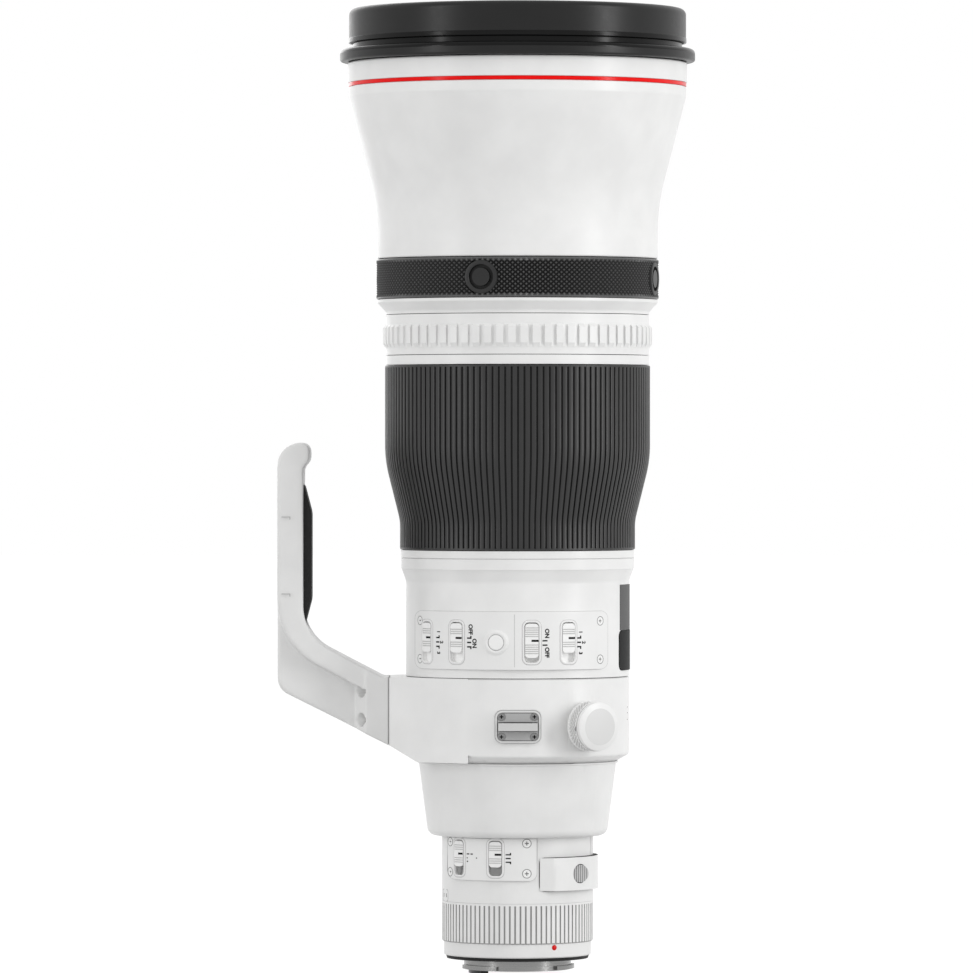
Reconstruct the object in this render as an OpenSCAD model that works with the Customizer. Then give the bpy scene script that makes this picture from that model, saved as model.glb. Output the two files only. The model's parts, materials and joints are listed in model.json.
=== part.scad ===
// Super telephoto lens with a rotating tripod collar and a carrying foot.
// Millimetres. The origin is the centre of the camera mount's flange face, +Z runs to the front
// element, and the foot lies towards -X. Azimuths are counted from -Y towards +X.

/* [Mount] */
// Radius of the clear throat through the mount
throat_r = 23.4; // [22:0.1:24]
// Wall of the mount's spigot
spigot_t = 1.95; // [1.6:0.05:2.4]
// Reach of the bayonet lugs over the spigot
lug_reach = 1.55; // [1.2:0.05:1.65]
// Depth of the spigot below the flange face
spigot_h = 6.4; // [5.5:0.1:8]
// Width of the flange face outside the lugs
flange_w = 5.7; // [5:0.1:6.3]
// Thickness of the flange
flange_t = 2.4; // [2:0.1:3]
// Reach of the rubber seal round the flange
seal_reach = 1.3; // [0.9:0.1:1.8]
// Drop of the seal's lip below the flange face
seal_drop = 1.2; // [0.6:0.1:1.6]

/* [Rear barrel] */
// Step from the flange out to the plain ring at the mount
plain_ring_step = 2.23; // [1.9:0.01:2.8]
// Rise of the plain ring over the flange face
plain_ring_rise = 0.4; // [0.2:0.1:1.4]
// Height of the plain ring
plain_ring_h = 6.6; // [5:0.2:9]
// Step from the flange out to the rear barrel
rear_step = 3.18; // [2.9:0.01:4.4]
// Height of the grooved band
grooved_h = 19; // [15.4:0.2:23.4]
// Number of grooves in the band
groove_count = 90; // [60:2:110]
// Visible height of the rear barrel above the grooved band
rear_h = 31; // [30.6:0.2:38.6]
// Step from the rear barrel out to the filter holder's flank
flank_step = 2.37; // [2.1:0.01:3.4]
// Height of the filter holder's flank
flank_h = 15.6; // [14:0.2:17]

/* [Rear cone] */
// Step from the rear barrel out to the cone's lower end
cone_step = 6.52; // [5.7:0.01:7.7]
// Step from the collar in to the cone's upper end
cone_inset = 6.14; // [5.6:0.01:6.8]
// Height of the cone
cone_h = 35.2; // [32:0.2:42]

/* [Tripod collar] */
// Outer radius of the middle barrel and the collar
mid_r = 52.84; // [52.2:0.02:54]
// Height of the collar
collar_h = 39.7; // [37:0.1:44]
// Thickness of the collar round the core that it turns on
collar_t = 4.24; // [3.9:0.01:4.6]
// Half width of the collar's boss for the foot
boss_half_w = 19; // [17:0.5:21]
// Step from the collar out to the joint between boss and foot
boss_reach = 7.86; // [6.2:0.01:10]
// Radius of the lock knob
knob_r = 11.7; // [10:0.1:13]
// Azimuth of the lock knob
knob_az = 35.5; // [32:0.5:40]

/* [Foot] */
// Distance from that joint to the foot's outer face
foot_reach = 52.8; // [49:0.1:61]
// Thickness of the foot's bar
bar_t = 12.5; // [11:0.5:14]
// Width of the foot's bar
bar_w = 36; // [32:0.5:40]
// Height of the foot's top above the joint's lower edge
foot_rise = 142.9; // [135:0.5:160]
// Height of the collar below the joint between boss and foot
joint_low = 7.5; // [7:0.1:10]
// Length of the soft pad
pad_h = 66.9; // [55:0.5:70]
// Thickness of the soft pad
pad_t = 5; // [4:0.25:7]

/* [Middle barrel] */
// Height of the middle barrel
mid_h = 59.5; // [58:0.5:66]
// Step from the middle barrel out to the band below the focus ring
band_step = 2.37; // [1.8:0.01:3.2]
// Height of the band
band_h = 9.2; // [8:0.2:11]

/* [Focus ring] */
// Step from that band out to the grip's lower end
grip_step = 0.47; // [0.2:0.01:1.5]
// Step from the grip's lower end out to its upper end
grip_flare = 7.11; // [6:0.01:8.5]
// Height of the focus ring
focus_h = 86.9; // [80:0.5:95]
// Height of the grip's tapered stretch
taper_h = 28.5; // [24:0.5:34]

/* [Control ring] */
// Step from the grip in to the white rings above it
ring_inset = 0.47; // [0.2:0.01:1.5]
// Height of the control ring's teeth
tooth_rise = 1.42; // [1:0.01:2.2]
// Height of the control ring
control_h = 18.9; // [17:0.1:22]
// Number of teeth on the control ring
tooth_count = 70; // [50:2:90]
// Height of the fixed ring below the control ring
spacer_h = 4.4; // [3:0.2:7]
// Height of the fixed ring above the control ring
shoulder_h = 7; // [6:0.2:10]

/* [Button ring] */
// Step from the barrel's waist out to the knurled button ring
button_ring_step = 0.45; // [0.1:0.01:1.6]
// Height of the button ring
button_ring_h = 18.7; // [17.5:0.1:22]
// Number of function buttons
button_count = 4; // [4:1:4]
// Radius of a function button
fn_button_r = 4.2; // [3.5:0.1:4.6]
// Azimuth of the first function button
fn_first_az = -15; // [-20:1:-10]

/* [Front barrel] */
// Step from the white rings out to the barrel's waist
waist_step = 4.08; // [3.8:0.01:5.2]
// Height of the straight waist
waist_h = 25.1; // [22:0.2:32]
// Step from the waist out to the top of the flare
flare_step = 13.45; // [12:0.05:15]
// Height of the flare
flare_h = 51.7; // [48:0.2:60]
// Step from the flare out to the crown above the accent ring
crown_step = 0.48; // [0.2:0.01:2]
// Height of the crown
crown_h = 9.6; // [8:0.2:12]
// Height of the accent ring
accent_h = 1.9; // [1.2:0.1:3.2]
// Reach of the hood flange over the crown
hood_reach = 3.79; // [2.2:0.01:5.6]
// Height of the hood flange
hood_h = 6; // [4.6:0.1:9]
// Step from the crown in to the front rim
rim_inset = 0.48; // [0:0.01:1.2]
// Height of the front rim
rim_h = 16.2; // [13:0.2:21]

/* [Focusing] */
// Travel of the focusing group
focus_travel = 24; // [16:0.5:26]
// Turn of the cam ring over that travel
cam_turn = 100; // [80:1:104]

/* [Hidden] */
$fn = 128;

// Colours
paint_white = [0.9, 0.9, 0.89];
rubber_black = [0.13, 0.13, 0.13];
metal_black = [0.06, 0.06, 0.06];
metal_grey = [0.62, 0.62, 0.62];
steel = [0.75, 0.75, 0.74];
glass_tint = [0.35, 0.45, 0.5, 0.45];
brass_yellow = [0.7, 0.55, 0.25];

// Clearances shared by all pieces
seam = 0.3;
fit = 0.08;
slack = 0.25;
edge = 0.5;
cut = 1;
arc_steps = 10;
lens_steps = 14;

// Walls
barrel_wall = 2.3;
mid_wall = 2.24;
core_wall = 2.2;
rear_wall = 2.5;
cone_wall = 2;
main_wall = 2;
grip_t = 1.7;
sleeve_t = 1.6;
bearing_t = 1;

// Radii, each a step from the one that it seats on
spigot_r = throat_r + spigot_t;
lug_r = spigot_r + lug_reach;
flange_r = lug_r + flange_w;
seal_r = flange_r + seal_reach;
plain_ring_r = flange_r + plain_ring_step;
rear_r = flange_r + rear_step;
flank_r = rear_r + flank_step;
cone_low_r = rear_r + cone_step;
cone_high_r = mid_r - cone_inset;
core_r = mid_r - collar_t;
joint_x = mid_r + boss_reach;
foot_x = joint_x + foot_reach;
band_r = mid_r + band_step;
grip_low_r = band_r + grip_step;
grip_high_r = grip_low_r + grip_flare;
ring_r = grip_high_r - ring_inset;
tooth_r = ring_r + tooth_rise;
waist_r = ring_r + waist_step;
button_ring_r = waist_r + button_ring_step;
flare_r = waist_r + flare_step;
crown_r = flare_r + crown_step;
hood_r = crown_r + hood_reach;
rim_r = crown_r - rim_inset;

// Heights along the axis, from the flange face up
z_plain0 = plain_ring_rise;
z_grooved0 = z_plain0 + plain_ring_h;
z_rear0 = z_grooved0 + grooved_h;
z_cone0 = z_rear0 + rear_h;
z_cone1 = z_cone0 + cone_h;
z_collar0 = z_cone1 + seam;
z_collar1 = z_collar0 + collar_h;
z_mid0 = z_collar1 + seam;
z_mid1 = z_mid0 + mid_h;
z_focus0 = z_mid1 + seam;
z_focus1 = z_focus0 + focus_h;
z_spacer0 = z_focus1 + seam;
z_spacer1 = z_spacer0 + spacer_h;
z_control0 = z_spacer1 + seam;
z_control1 = z_control0 + control_h;
z_shoulder0 = z_control1 + seam;
z_shoulder1 = z_shoulder0 + shoulder_h;
z_buttons0 = z_shoulder1 + seam;
z_buttons1 = z_buttons0 + button_ring_h;
z_waist0 = z_buttons1 + seam;
z_flare0 = z_waist0 + waist_h;
z_flare1 = z_flare0 + flare_h;
stripe_drop = 4.7;
z_accent0 = z_flare1 + stripe_drop;
z_accent1 = z_accent0 + accent_h;
z_crown1 = z_accent1 + crown_h;
z_hood0 = z_crown1 + seam;
z_hood1 = z_hood0 + hood_h;
rim_gap = 2.9;
z_rim0 = z_hood1 + rim_gap;
z_rim1 = z_rim0 + rim_h;

// Main tube and the rings that run on it
main_low_r = grip_low_r - grip_t - sleeve_t - bearing_t;
main_high_r = grip_high_r - grip_t - sleeve_t - bearing_t;
taper_rise = 13.6;
z_taper0 = z_focus0 + taper_rise;
z_taper1 = z_taper0 + taper_h;
taper_low_round = 24;
taper_high_round = 60;
main_foot = 8;
z_main0 = z_mid1 - main_foot;
plug_wall = 3.2;
plug_r = main_high_r + plug_wall;
z_plug1 = z_waist0 - seam;
ledge_t = 2.5;
element_ledge = 3;
element_rim = 5;
element_sag = 2.5;
spacer_ring_h = 6;
z_element_ledge = z_control0;

// Front barrel
core_skirt = 2.5;
button_core_r = plug_r + fit + core_skirt;
flare_round = 106;
shoulder_round = 4;
accent_d = 1.1;
accent_proud = 0.1;
hood_seat_h = 8.7;
hood_wall = 2.2;
hood_seat_r = crown_r - hood_wall;
z_hood_seat = z_crown1 - hood_seat_h;
cell_h = 10.2;
z_cell0 = z_hood_seat - cell_h;
cell_step = 1;
cell_r = hood_seat_r - cell_step;
cell_ledge = 3;
hood_lip = 1.3;
hood_bore_r = cell_r - hood_lip;
hood_neck_d = 1.9;
tube_wall = 1.5;
hood_round = 2.2;
hood_low_round = 1.2;
rim_round = 3;
rim_top_t = 1.6;
front_sag = 6.6;
back_sag = 2;

// Function buttons
bezel_r = 7.8;
bezel_rise = 0.45;
bezel_groove_r = 5.5;
bezel_groove_d = 0.6;
fn_travel = 0.5;
z_fn = (z_buttons0 + z_buttons1) / 2;

// Control ring
tooth_gap = 2.3;
tooth_floor = 0.35;
tooth_low = 5.3;
tooth_h = 7.6;
tooth_slope_low = 2.4;
tooth_slope_high = 1.1;
shoulder_lip = 1.4;
shoulder_drop = 4.4;

// Middle barrel
step_h = 5.4;
step_lip = 0.46;
z_step0 = z_mid1 - band_h - step_h;
band_seam_drop = 3.5;
band_seam_d = 0.4;
collar_lip_h = 2.8;
z_core0 = z_collar0 + collar_lip_h + seam;
floor_t = 2.2;
z_floor = z_mid0 + floor_t;
core_in_r = core_r - core_wall;
mid_in_r = mid_r - mid_wall;

// Upper switch panel: two lobes that meet in a ridge
panel_rise = 2.06;
lobe_shift = 1.6;
panel_lobe_r = mid_r + panel_rise;
panel_left_az = 61.61;
panel_right_az = 50.24;
panel_left = panel_lobe_r * sin(panel_left_az);
panel_right = panel_lobe_r * sin(panel_right_az);
panel_low = 4.1;
panel_h = 27.1;
panel_round = 3.4;
z_panel0 = z_mid0 + panel_low;
z_panel = z_panel0 + panel_h / 2;
slot_w = 6.9;
slot_l = 18.8;
slot_round = 2;
slot_up = -0.3;
z_slot = z_panel + slot_up - edge;
slider_l = 13.8;
long_slider_l = 16.1;
slider_proud = 0.35;
slider_root = 1.4;
slider_rib_w = 0.45;
slider_rib_d = 0.35;
slider_rib_pitch = 1;
speed_az = -52.8;
preset_az = -32.2;
stabiliser_az = 6.8;
mode_az = 26;
set_az = -10.8;
set_r = 3.75;
set_collar_r = 5.4;
set_collar_rise = 0.5;
set_travel = 0.6;
screw_head_r = 1.9;
cross_w = 0.5;
upper_screw_left_az = -59.2;
upper_screw_right_az = 46;
upper_screw_up = 9;

// Side plate and scale window
plate_t = 1.05;
plate_proud = 0.45;
plate_half_w = 21.8;
plate_h = 21.5;
window_half_w = 22.9;
window_h = 18.9;
window_low = 2.9;
window_round = 3;
sight_half_w = 18.5;
sight_h = 9.7;
sight_low = 7.6;
z_window0 = z_mid0 + window_low;
z_window1 = z_window0 + window_h;
z_sight0 = z_window0 + sight_low;
drum_gap = 0.5;
drum_t = 1;
drum_r = mid_in_r - drum_gap;
drum_over = 1.5;
drum_web = 2;

// Focusing group
cam_room = 8.88;
guide_r = main_low_r - main_wall - cam_room;
guide_wall = 2;
guide_in_r = guide_r - guide_wall;
guide_drop = 62;
cam_wall = 2.5;
cam_in_r = guide_r + slack;
cam_r = cam_in_r + cam_wall;
guide_ledge_rise = 17;
z_guide_ledge = z_focus0 + guide_ledge_rise;
z_guide1 = z_guide_ledge + ledge_t + seam;
guide_flange_t = 2;
z_guide0 = z_guide1 - guide_drop;
pin_r = 2;
pin_drop = 12;
z_pin = z_guide_ledge - pin_drop;
cell_half_h = 6;
cam_margin = 2;
z_cam1 = z_guide_ledge - slack - cam_margin;
z_cam0 = z_sight0 + sight_h + drum_over;
rotor_drop = 13;
rotor_t = 5.5;
stator_gap = 0.4;
stator_t = 4;
main_low_in_r = main_low_r - main_wall;

// Stabiliser, diaphragm and rear group
stab_rise = 10;
stab_plate_t = 4;
stab_frame_w = 16.4;
stab_aperture_r = core_in_r - stab_frame_w;
carrier_w = 18.4;
carrier_aperture_r = core_in_r - carrier_w;
carrier_margin = 2.9;
stab_cell_inset = 12.4;
stab_cell_r = core_in_r - stab_cell_inset;
stab_cell_w = 10;
stab_glass_r = stab_cell_r - stab_cell_w;
stab_shift = 1.5;
z_stab0 = z_core0 + stab_rise;
iris_w = 23.6;
iris_aperture_r = mid_in_r - iris_w;
iris_floor_t = 2.2;
iris_ring_t = 2;
iris_rim_w = 5;
drive_tab = 3;

// Tripod collar
bush_t = 1.3;
bush_r = core_r + fit + bush_t;
lip_gap = 0.3;
top_lip_h = 2.6;
collar_edge_h = 3.1;
collar_edge_lip = 0.2;
cone_lip_w = 0.9;
cone_lip_r = cone_high_r + cone_lip_w;
cone_lip_h = 1;
knob_rise = 17.5;
z_knob = z_collar0 + knob_rise;
knob_boss_r = 8;
knob_boss_rise = 2.8;
knob_h = 10.2;
knob_stem_r = 3;
knob_bevel_h = 1.05;
knob_bevel_w = 2.9;
knob_cap_in = 0.35;
knob_cap_t = 1.4;
knob_neck_d = 0.35;
knob_neck_h = 0.5;
stem_in = 1.4;
boss_r0 = joint_x - seam / 2;

// Strap lugs
lug_plate_w = 21.6;
lug_plate_h = 15.4;
lug_plate_top = 1.5;
lug_plate_sink = 1.5;
lug_plate_round = 3.5;
lug_bar_w = 18.5;
lug_bar_h = 3.6;
lug_bar_t = 1.7;
lug_bar_gap = 2.6;
lug_post_w = 2.6;
lug_screw_x = 7.7;
lug_screw_z = 4.7;
lug_screw_r = 1.8;

// Foot, drawn in the plane of the axis and the foot
z_joint0 = z_collar0 + joint_low;
z_joint1 = z_collar1;
z_foot1 = z_joint0 + foot_rise;
foot_x0 = joint_x + seam / 2;
under_slope = 0.499;
arm_slope = 0.523;
arm_level_w = 2.6;
hook_w = 3.1;
hook_h = 8.4;
hook_bevel = 2.6;
hook_round = 11;
heel_round = 8;
crook_round = 22;
foot_tip_x = foot_x - bar_t;
rim_fall = 10.7;
web_w = 23;
shoulder_w = 11.4;
ramp_w = 4.4;
pad_drop = 20.1;
pad_w = 28;
pad_sink = 1.6;
pad_bevel = 13;
z_pad0 = z_foot1 - pad_drop - pad_h;
foot_screw_r = 1.6;
foot_head_r = 2.9;
foot_head_h = 4;
foot_screw_y = 15;
foot_screw_low = 12;
foot_screw_pitch = 13.6;
foot_screw_depth = 9;
big_socket_r = 3.97;
small_socket_r = 2.55;
socket_depth = 9;
socket_pitch = 22;
z_foot_face0 = z_joint0 + under_slope * (foot_x - foot_x0) + heel_round;
z_foot_face1 = z_foot1 - hook_round;
z_sockets = (z_foot_face0 + z_foot_face1) / 2;

// Rear cone and barrel
cone_floor_t = 2;
cone_round = 4;
rear_in_r = rear_r - rear_wall;
barrel_flange_w = 2.5;
barrel_flange_t = 4;
z_barrel_flange = z_cone0 + cone_floor_t + seam;
z_barrel1 = z_barrel_flange + barrel_flange_t;
holder_low = 6;
z_flank0 = z_rear0 + holder_low;
z_flank = z_flank0 + flank_h / 2;
frame_h = 9.8;
frame_rest = 4.38;
frame_half_w = rear_in_r - frame_rest;
frame_gap = 0.3;
filter_wall = 3.6;
filter_r = frame_half_w - filter_wall;
filter_ledge = 1.5;
filter_t = 2;
floor_plate_t = 2.2;
flank_half_az = 73.4;
flank_bevel_az = 9.1;
flank_round = 3;
latch_az = 39.3;
latch_tilt = 26.7;
latch_r = 4.2;
latch_gap = 0.35;
latch_proud = 0.2;
latch_t = 4.2;
latch_travel = 0.5;
latch_grooves = 7;
latch_groove_w = 0.4;
latch_groove_d = 0.3;
spigot_wall = 2;
spigot_l = 6;
rear_cell_wall = 4.98;
rear_cell_r = rear_in_r - rear_cell_wall;
rear_glass_r = rear_cell_r - seam;
rear_glass_h = 8;
rear_sag = 2.5;
board_t = 1.6;
board_w = 10;
chip = board_w / 2;
chip_t = 1.2;
chip_count = 8;

// Lower switch panel
low_panel_rise = 1.12;
low_panel_r = rear_r + low_panel_rise;
low_panel_left_az = 63.42;
low_panel_right_az = 13.96;
low_panel_left = low_panel_r * sin(low_panel_left_az);
low_panel_right = low_panel_r * sin(low_panel_right_az);
low_panel_rest = 11;
low_panel_round = 3.6;
z_low_panel0 = z_rear0 + low_panel_rest;
low_slot_w = 6.6;
low_slot_l = 16.6;
low_slot_round = 2;
low_slider_l = 12;
low_slider_root = 1.2;
focus_mode_az = -16.7;
range_az = -48.5;
low_slot_drop = 9.5;
z_low_slot = z_cone0 - low_slot_drop;
low_screw_left_az = -59.5;
low_screw_right_az = 6.6;
low_screw_up = 7.1;

// Grooved band and mount
groove_w = 0.8;
groove_d = 0.5;
groove_rest = 1;
mount_lug_h = 1.8;
mount_lug_az = 54;
mount_lug_turn = -19;
mount_relief = 0.4;
mount_screw_inset = 2.6;
mount_screw_pcd_r = flange_r - mount_screw_inset;
mount_screw_r = 1.3;
mount_screw_l = 6;
mount_seat_t = 4;
mount_seat_z = flange_t + fit;
mount_seat_z1 = mount_seat_z + mount_seat_t;
mount_seat_in_r = mount_screw_pcd_r - 1.7 * mount_screw_r;
seal_wall = 0.9;
block_gap = 0.2;
block_r = throat_r - block_gap;
block_t = 4.6;
block_drop = 1.9;
block_half_az = 42;
pin_count = 11;
contact_r = 0.8;
contact_proud = 0.15;

// A unit vector along v
function unit(v) = v / norm(v);
// Arc of radius r that rounds the corner b between a and c
function corner(a, b, c, r) =
    let (u = unit(a - b), v = unit(c - b), half = acos(u * v) / 2,
        middle = b + unit(u + v) * r / sin(half),
        p = b + u * r / tan(half), q = b + v * r / tan(half),
        start = atan2(p.y - middle.y, p.x - middle.x),
        end = atan2(q.y - middle.y, q.x - middle.x),
        sweep = ((end - start + 540) % 360) - 180)
    [for (i = [0 : arc_steps])
        middle + r * [cos(start + sweep * i / arc_steps), sin(start + sweep * i / arc_steps)]];
// Path through points [x, y, r], with each inner point rounded by its own r
function rounded(path) =
    [for (i = [0 : len(path) - 1])
        let (p = path[i], b = [p.x, p.y])
        each (p.z == 0 || p.z == undef) ? [b]
            : corner([path[i - 1].x, path[i - 1].y], b, [path[i + 1].x, path[i + 1].y], p.z)];
// Rectangle centred on the origin with its corners rounded
function plate_outline(w, h, r) =
    let (x = w / 2, y = h / 2)
    rounded([[0, -y, 0], [x, -y, r], [x, y, r], [-x, y, r], [-x, -y, r], [0, -y, 0]]);
// The list in reverse order
function reversed(list) = [for (i = [len(list) - 1 : -1 : 0]) list[i]];
// Height of a lens surface above its rim at distance x, for a sag at the centre
function lens_height(x, r, sag) =
    let (curve = (r * r + sag * sag) / (2 * sag)) sqrt(curve * curve - x * x) - (curve - sag);
// Half outline of a lens between two curved faces
function lens_outline(r, z0, z1, sag0, sag1) = concat(
    [for (i = [0 : lens_steps]) let (x = r * i / lens_steps) [x, z0 - lens_height(x, r, sag0)]],
    [for (i = [lens_steps : -1 : 0]) let (x = r * i / lens_steps) [x, z1 + lens_height(x, r, sag1)]]);
// The focus grip's outline from bottom to top, moved in by depth
function grip_path(depth) = rounded([
    [grip_low_r - depth, z_focus0, 0],
    [grip_low_r - depth, z_taper0, taper_low_round],
    [grip_high_r - depth, z_taper1, taper_high_round],
    [grip_high_r - depth, z_focus1, 0]]);
// Radius of the upper panel's surface at an azimuth
function panel_surface(az) = sqrt(panel_lobe_r ^ 2 - (lobe_shift * cos(az)) ^ 2)
    - lobe_shift * abs(sin(az));
// Azimuth of function button number i
function fn_az(i) = fn_first_az + 360 * i / button_count;

// Turns a half outline of [radius, height] points round the optical axis
module turned(points) {
    rotate_extrude() polygon(points);
}
// Plain ring between two radii and two heights
module tube(r_in, r_out, z0, z1) {
    turned([[r_in, z0], [r_out, z0], [r_out, z1], [r_in, z1]]);
}
// Ring whose outer edges are broken by a small bevel
module bevelled_ring(r_in, r_out, z0, z1, bevel) {
    turned([[r_in, z0], [r_out - bevel, z0], [r_out, z0 + bevel], [r_out, z1 - bevel],
        [r_out - bevel, z1], [r_in, z1]]);
}
// Puts its children on the barrel: x runs round it, y up and z outwards from the axis
module around(az, z) {
    rotate([0, 0, az]) translate([0, 0, z]) rotate([90, 0, 0]) children();
}
// Rounded plate that stands on the radius r0 and reaches r1
module radial_plate(w, h, round, r0, r1) {
    translate([0, 0, r0]) linear_extrude(r1 - r0) polygon(plate_outline(w, h, round));
}
// Round peg from the radius r0 to r1
module radial_peg(r, r0, r1) {
    translate([0, 0, r0]) cylinder(r = r, h = r1 - r0);
}
// Extrudes an outline drawn in the plane of the axis and the foot, centred across it
module slab(width) {
    translate([0, width / 2, 0]) rotate([90, 0, 0]) linear_extrude(width) children();
}
// Pan-head screw with a cross recess whose head ends at the height top
module cross_screw(head_r, head_t, top) {
    difference() {
        radial_peg(head_r, top - head_t, top);
        for (turn = [0, 90]) rotate([0, 0, turn])
            translate([-head_r / 2, -cross_w / 2, top - head_t / 2]) cube([head_r, cross_w, head_t]);
    }
}
// Thumb slider with two ribbed zones beside its index line
module slider(w, l, r0, r1) {
    ribs = floor(l / 2 / slider_rib_pitch) - 2;
    difference() {
        radial_plate(w, l, slot_round - slack, r0, r1);
        for (side = [-1, 1], i = [2 : ribs])
            translate([-w, side * i * slider_rib_pitch - slider_rib_w / 2, r1 - slider_rib_d])
                cube([2 * w, slider_rib_w, cut]);
    }
}

// Front end

module front_rim() {
    inner = hood_bore_r + tube_wall + fit;
    color(rubber_black) turned(concat([[inner, z_rim0]],
        rounded([[rim_r - edge, z_rim0, 0], [rim_r, z_rim0 + edge, 0], [rim_r, z_rim1, rim_round],
            [hood_bore_r, z_rim1, 0]]),
        [[hood_bore_r, z_rim1 - rim_top_t], [inner, z_rim1 - rim_top_t]]));
}

module hood_flange() {
    seat_r = hood_seat_r - fit;
    neck_r = rim_r - hood_neck_d;
    tube_r = hood_bore_r + tube_wall;
    z_top = z_rim1 - rim_top_t - fit;
    color(metal_black) turned(concat(
        [[hood_bore_r, z_hood_seat + fit], [seat_r, z_hood_seat + fit], [seat_r, z_hood0]],
        rounded([[crown_r - edge, z_hood0, 0], [hood_r, z_hood0, hood_low_round],
            [hood_r, z_hood1, hood_round], [neck_r, z_hood1, 0]]),
        [[neck_r, z_rim0 - fit], [tube_r, z_rim0 - fit], [tube_r, z_top], [hood_bore_r, z_top]]));
}

module front_barrel() {
    ledge_r = cell_r - cell_ledge;
    slope = flare_h / (flare_r - waist_r);
    z_inner = z_flare0 + slope * (ledge_r + barrel_wall - waist_r);
    core_in = plug_r + fit;
    color(paint_white) turned(concat(
        [[core_in, z_buttons0 - seam / 2], [button_core_r, z_buttons0 - seam / 2],
            [button_core_r, z_waist0]],
        rounded([[waist_r - edge, z_waist0, 0], [waist_r, z_waist0 + edge, 0],
            [waist_r, z_flare0, flare_round], [flare_r, z_flare1, shoulder_round],
            [flare_r, z_accent0, 0]]),
        [[flare_r - accent_d, z_accent0], [flare_r - accent_d, z_accent1], [crown_r, z_accent1],
            [crown_r, z_crown1 - edge], [crown_r - edge, z_crown1], [hood_seat_r, z_crown1],
            [hood_seat_r, z_hood_seat], [cell_r, z_hood_seat], [cell_r, z_cell0],
            [ledge_r, z_cell0], [ledge_r, z_inner], [waist_r - barrel_wall, z_flare0],
            [waist_r - barrel_wall, z_waist0 + barrel_wall], [core_in, z_waist0]]));
}

module accent_ring() {
    color("red") tube(flare_r - accent_d + fit, flare_r + accent_proud, z_accent0 + fit,
        z_accent1 - fit);
}

module front_element() {
    color(glass_tint) turned(lens_outline(cell_r - slack, z_cell0 + slack, z_hood_seat - slack,
        back_sag, front_sag));
}

// Button ring

module button_ring() {
    color(metal_black) difference() {
        union() {
            bevelled_ring(button_core_r + fit, button_ring_r, z_buttons0, z_buttons1, edge);
            for (i = [0 : button_count - 1]) around(fn_az(i), z_fn) difference() {
                radial_peg(bezel_r, button_core_r + edge, button_ring_r + bezel_rise);
                radial_peg(bezel_groove_r, button_ring_r + bezel_rise - bezel_groove_d,
                    button_ring_r + cut);
            }
        }
        for (i = [0 : button_count - 1]) around(fn_az(i), z_fn)
            radial_peg(fn_button_r + fit, button_core_r - cut, button_ring_r + cut);
        tube(0, button_core_r + fit, z_buttons0 - cut, z_buttons1 + cut);
    }
}

module function_button(i) {
    color(metal_black) around(fn_az(i), z_fn)
        radial_peg(fn_button_r, button_core_r + fn_travel + slack,
            button_ring_r + bezel_rise - fit);
}

// Rings on the main tube

module trim_rings() {
    inner = main_high_r + fit;
    color(paint_white) {
        bevelled_ring(inner, ring_r, z_spacer0, z_spacer1, fit);
        turned(concat([[inner, z_shoulder0]],
            rounded([[ring_r, z_shoulder0, 0], [ring_r, z_shoulder1 - shoulder_lip - shoulder_drop,
                shoulder_drop / 2], [waist_r, z_shoulder1 - shoulder_lip, shoulder_lip / 2],
                [waist_r, z_shoulder1, 0]]),
            [[inner, z_shoulder1]]));
    }
}

module control_ring() {
    z0 = z_control0 + tooth_low;
    z1 = z0 + tooth_h;
    floor_r = ring_r + tooth_floor;
    color(paint_white) difference() {
        turned([[main_high_r + fit, z_control0], [ring_r, z_control0],
            [ring_r, z0 - tooth_slope_low], [tooth_r, z0], [tooth_r, z1],
            [floor_r, z1 + tooth_slope_high], [ring_r, z1 + tooth_slope_high + edge],
            [ring_r, z_control1], [main_high_r + fit, z_control1]]);
        for (i = [0 : tooth_count - 1]) rotate([0, 0, (i + 1 / 2) * 360 / tooth_count])
            translate([floor_r, -tooth_gap / 2, z0 - tooth_slope_low])
                cube([tooth_r, tooth_gap, tooth_h + tooth_slope_low + tooth_slope_high]);
    }
}

// Focus ring

module focus_sleeve() {
    outer = grip_path(grip_t + fit);
    inner = grip_path(grip_t + sleeve_t);
    land_h = taper_rise / 2;
    color(metal_grey) {
        turned(concat(outer, reversed(inner)));
        tube(main_low_r + fit, main_low_r + bearing_t + fit, z_focus0, z_focus0 + land_h);
        tube(main_high_r + fit, main_high_r + bearing_t + fit, z_focus1 - land_h, z_focus1);
    }
}

module focus_grip() {
    color(rubber_black) turned(concat(grip_path(0), reversed(grip_path(grip_t))));
}

module main_tube() {
    outer = [for (p = grip_path(grip_t + sleeve_t + bearing_t)) if (p.y < z_focus1 && p.y > z_focus0) p];
    inner = [for (p = grip_path(grip_t + sleeve_t + bearing_t + main_wall))
        if (p.y < z_focus1 && p.y > z_focus0) p];
    high_in = main_high_r - main_wall;
    low_in = main_low_in_r;
    z_seat = z_buttons0 - seam / 2 - fit;
    color(metal_grey) {
        turned(concat([[low_in, z_main0], [main_low_r, z_main0]], outer,
            [[main_high_r, z_seat], [plug_r, z_seat], [plug_r, z_plug1],
                [plug_r - main_wall, z_plug1], [high_in, z_seat],
                [high_in, z_element_ledge], [high_in - element_ledge, z_element_ledge],
                [high_in - element_ledge, z_element_ledge - ledge_t],
                [high_in, z_element_ledge - ledge_t - element_ledge]],
            reversed(inner)));
        tube(guide_r + 2 * cam_wall + slack, low_in + main_wall / 2, z_guide_ledge,
            z_guide_ledge + ledge_t);
    }
}

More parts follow.
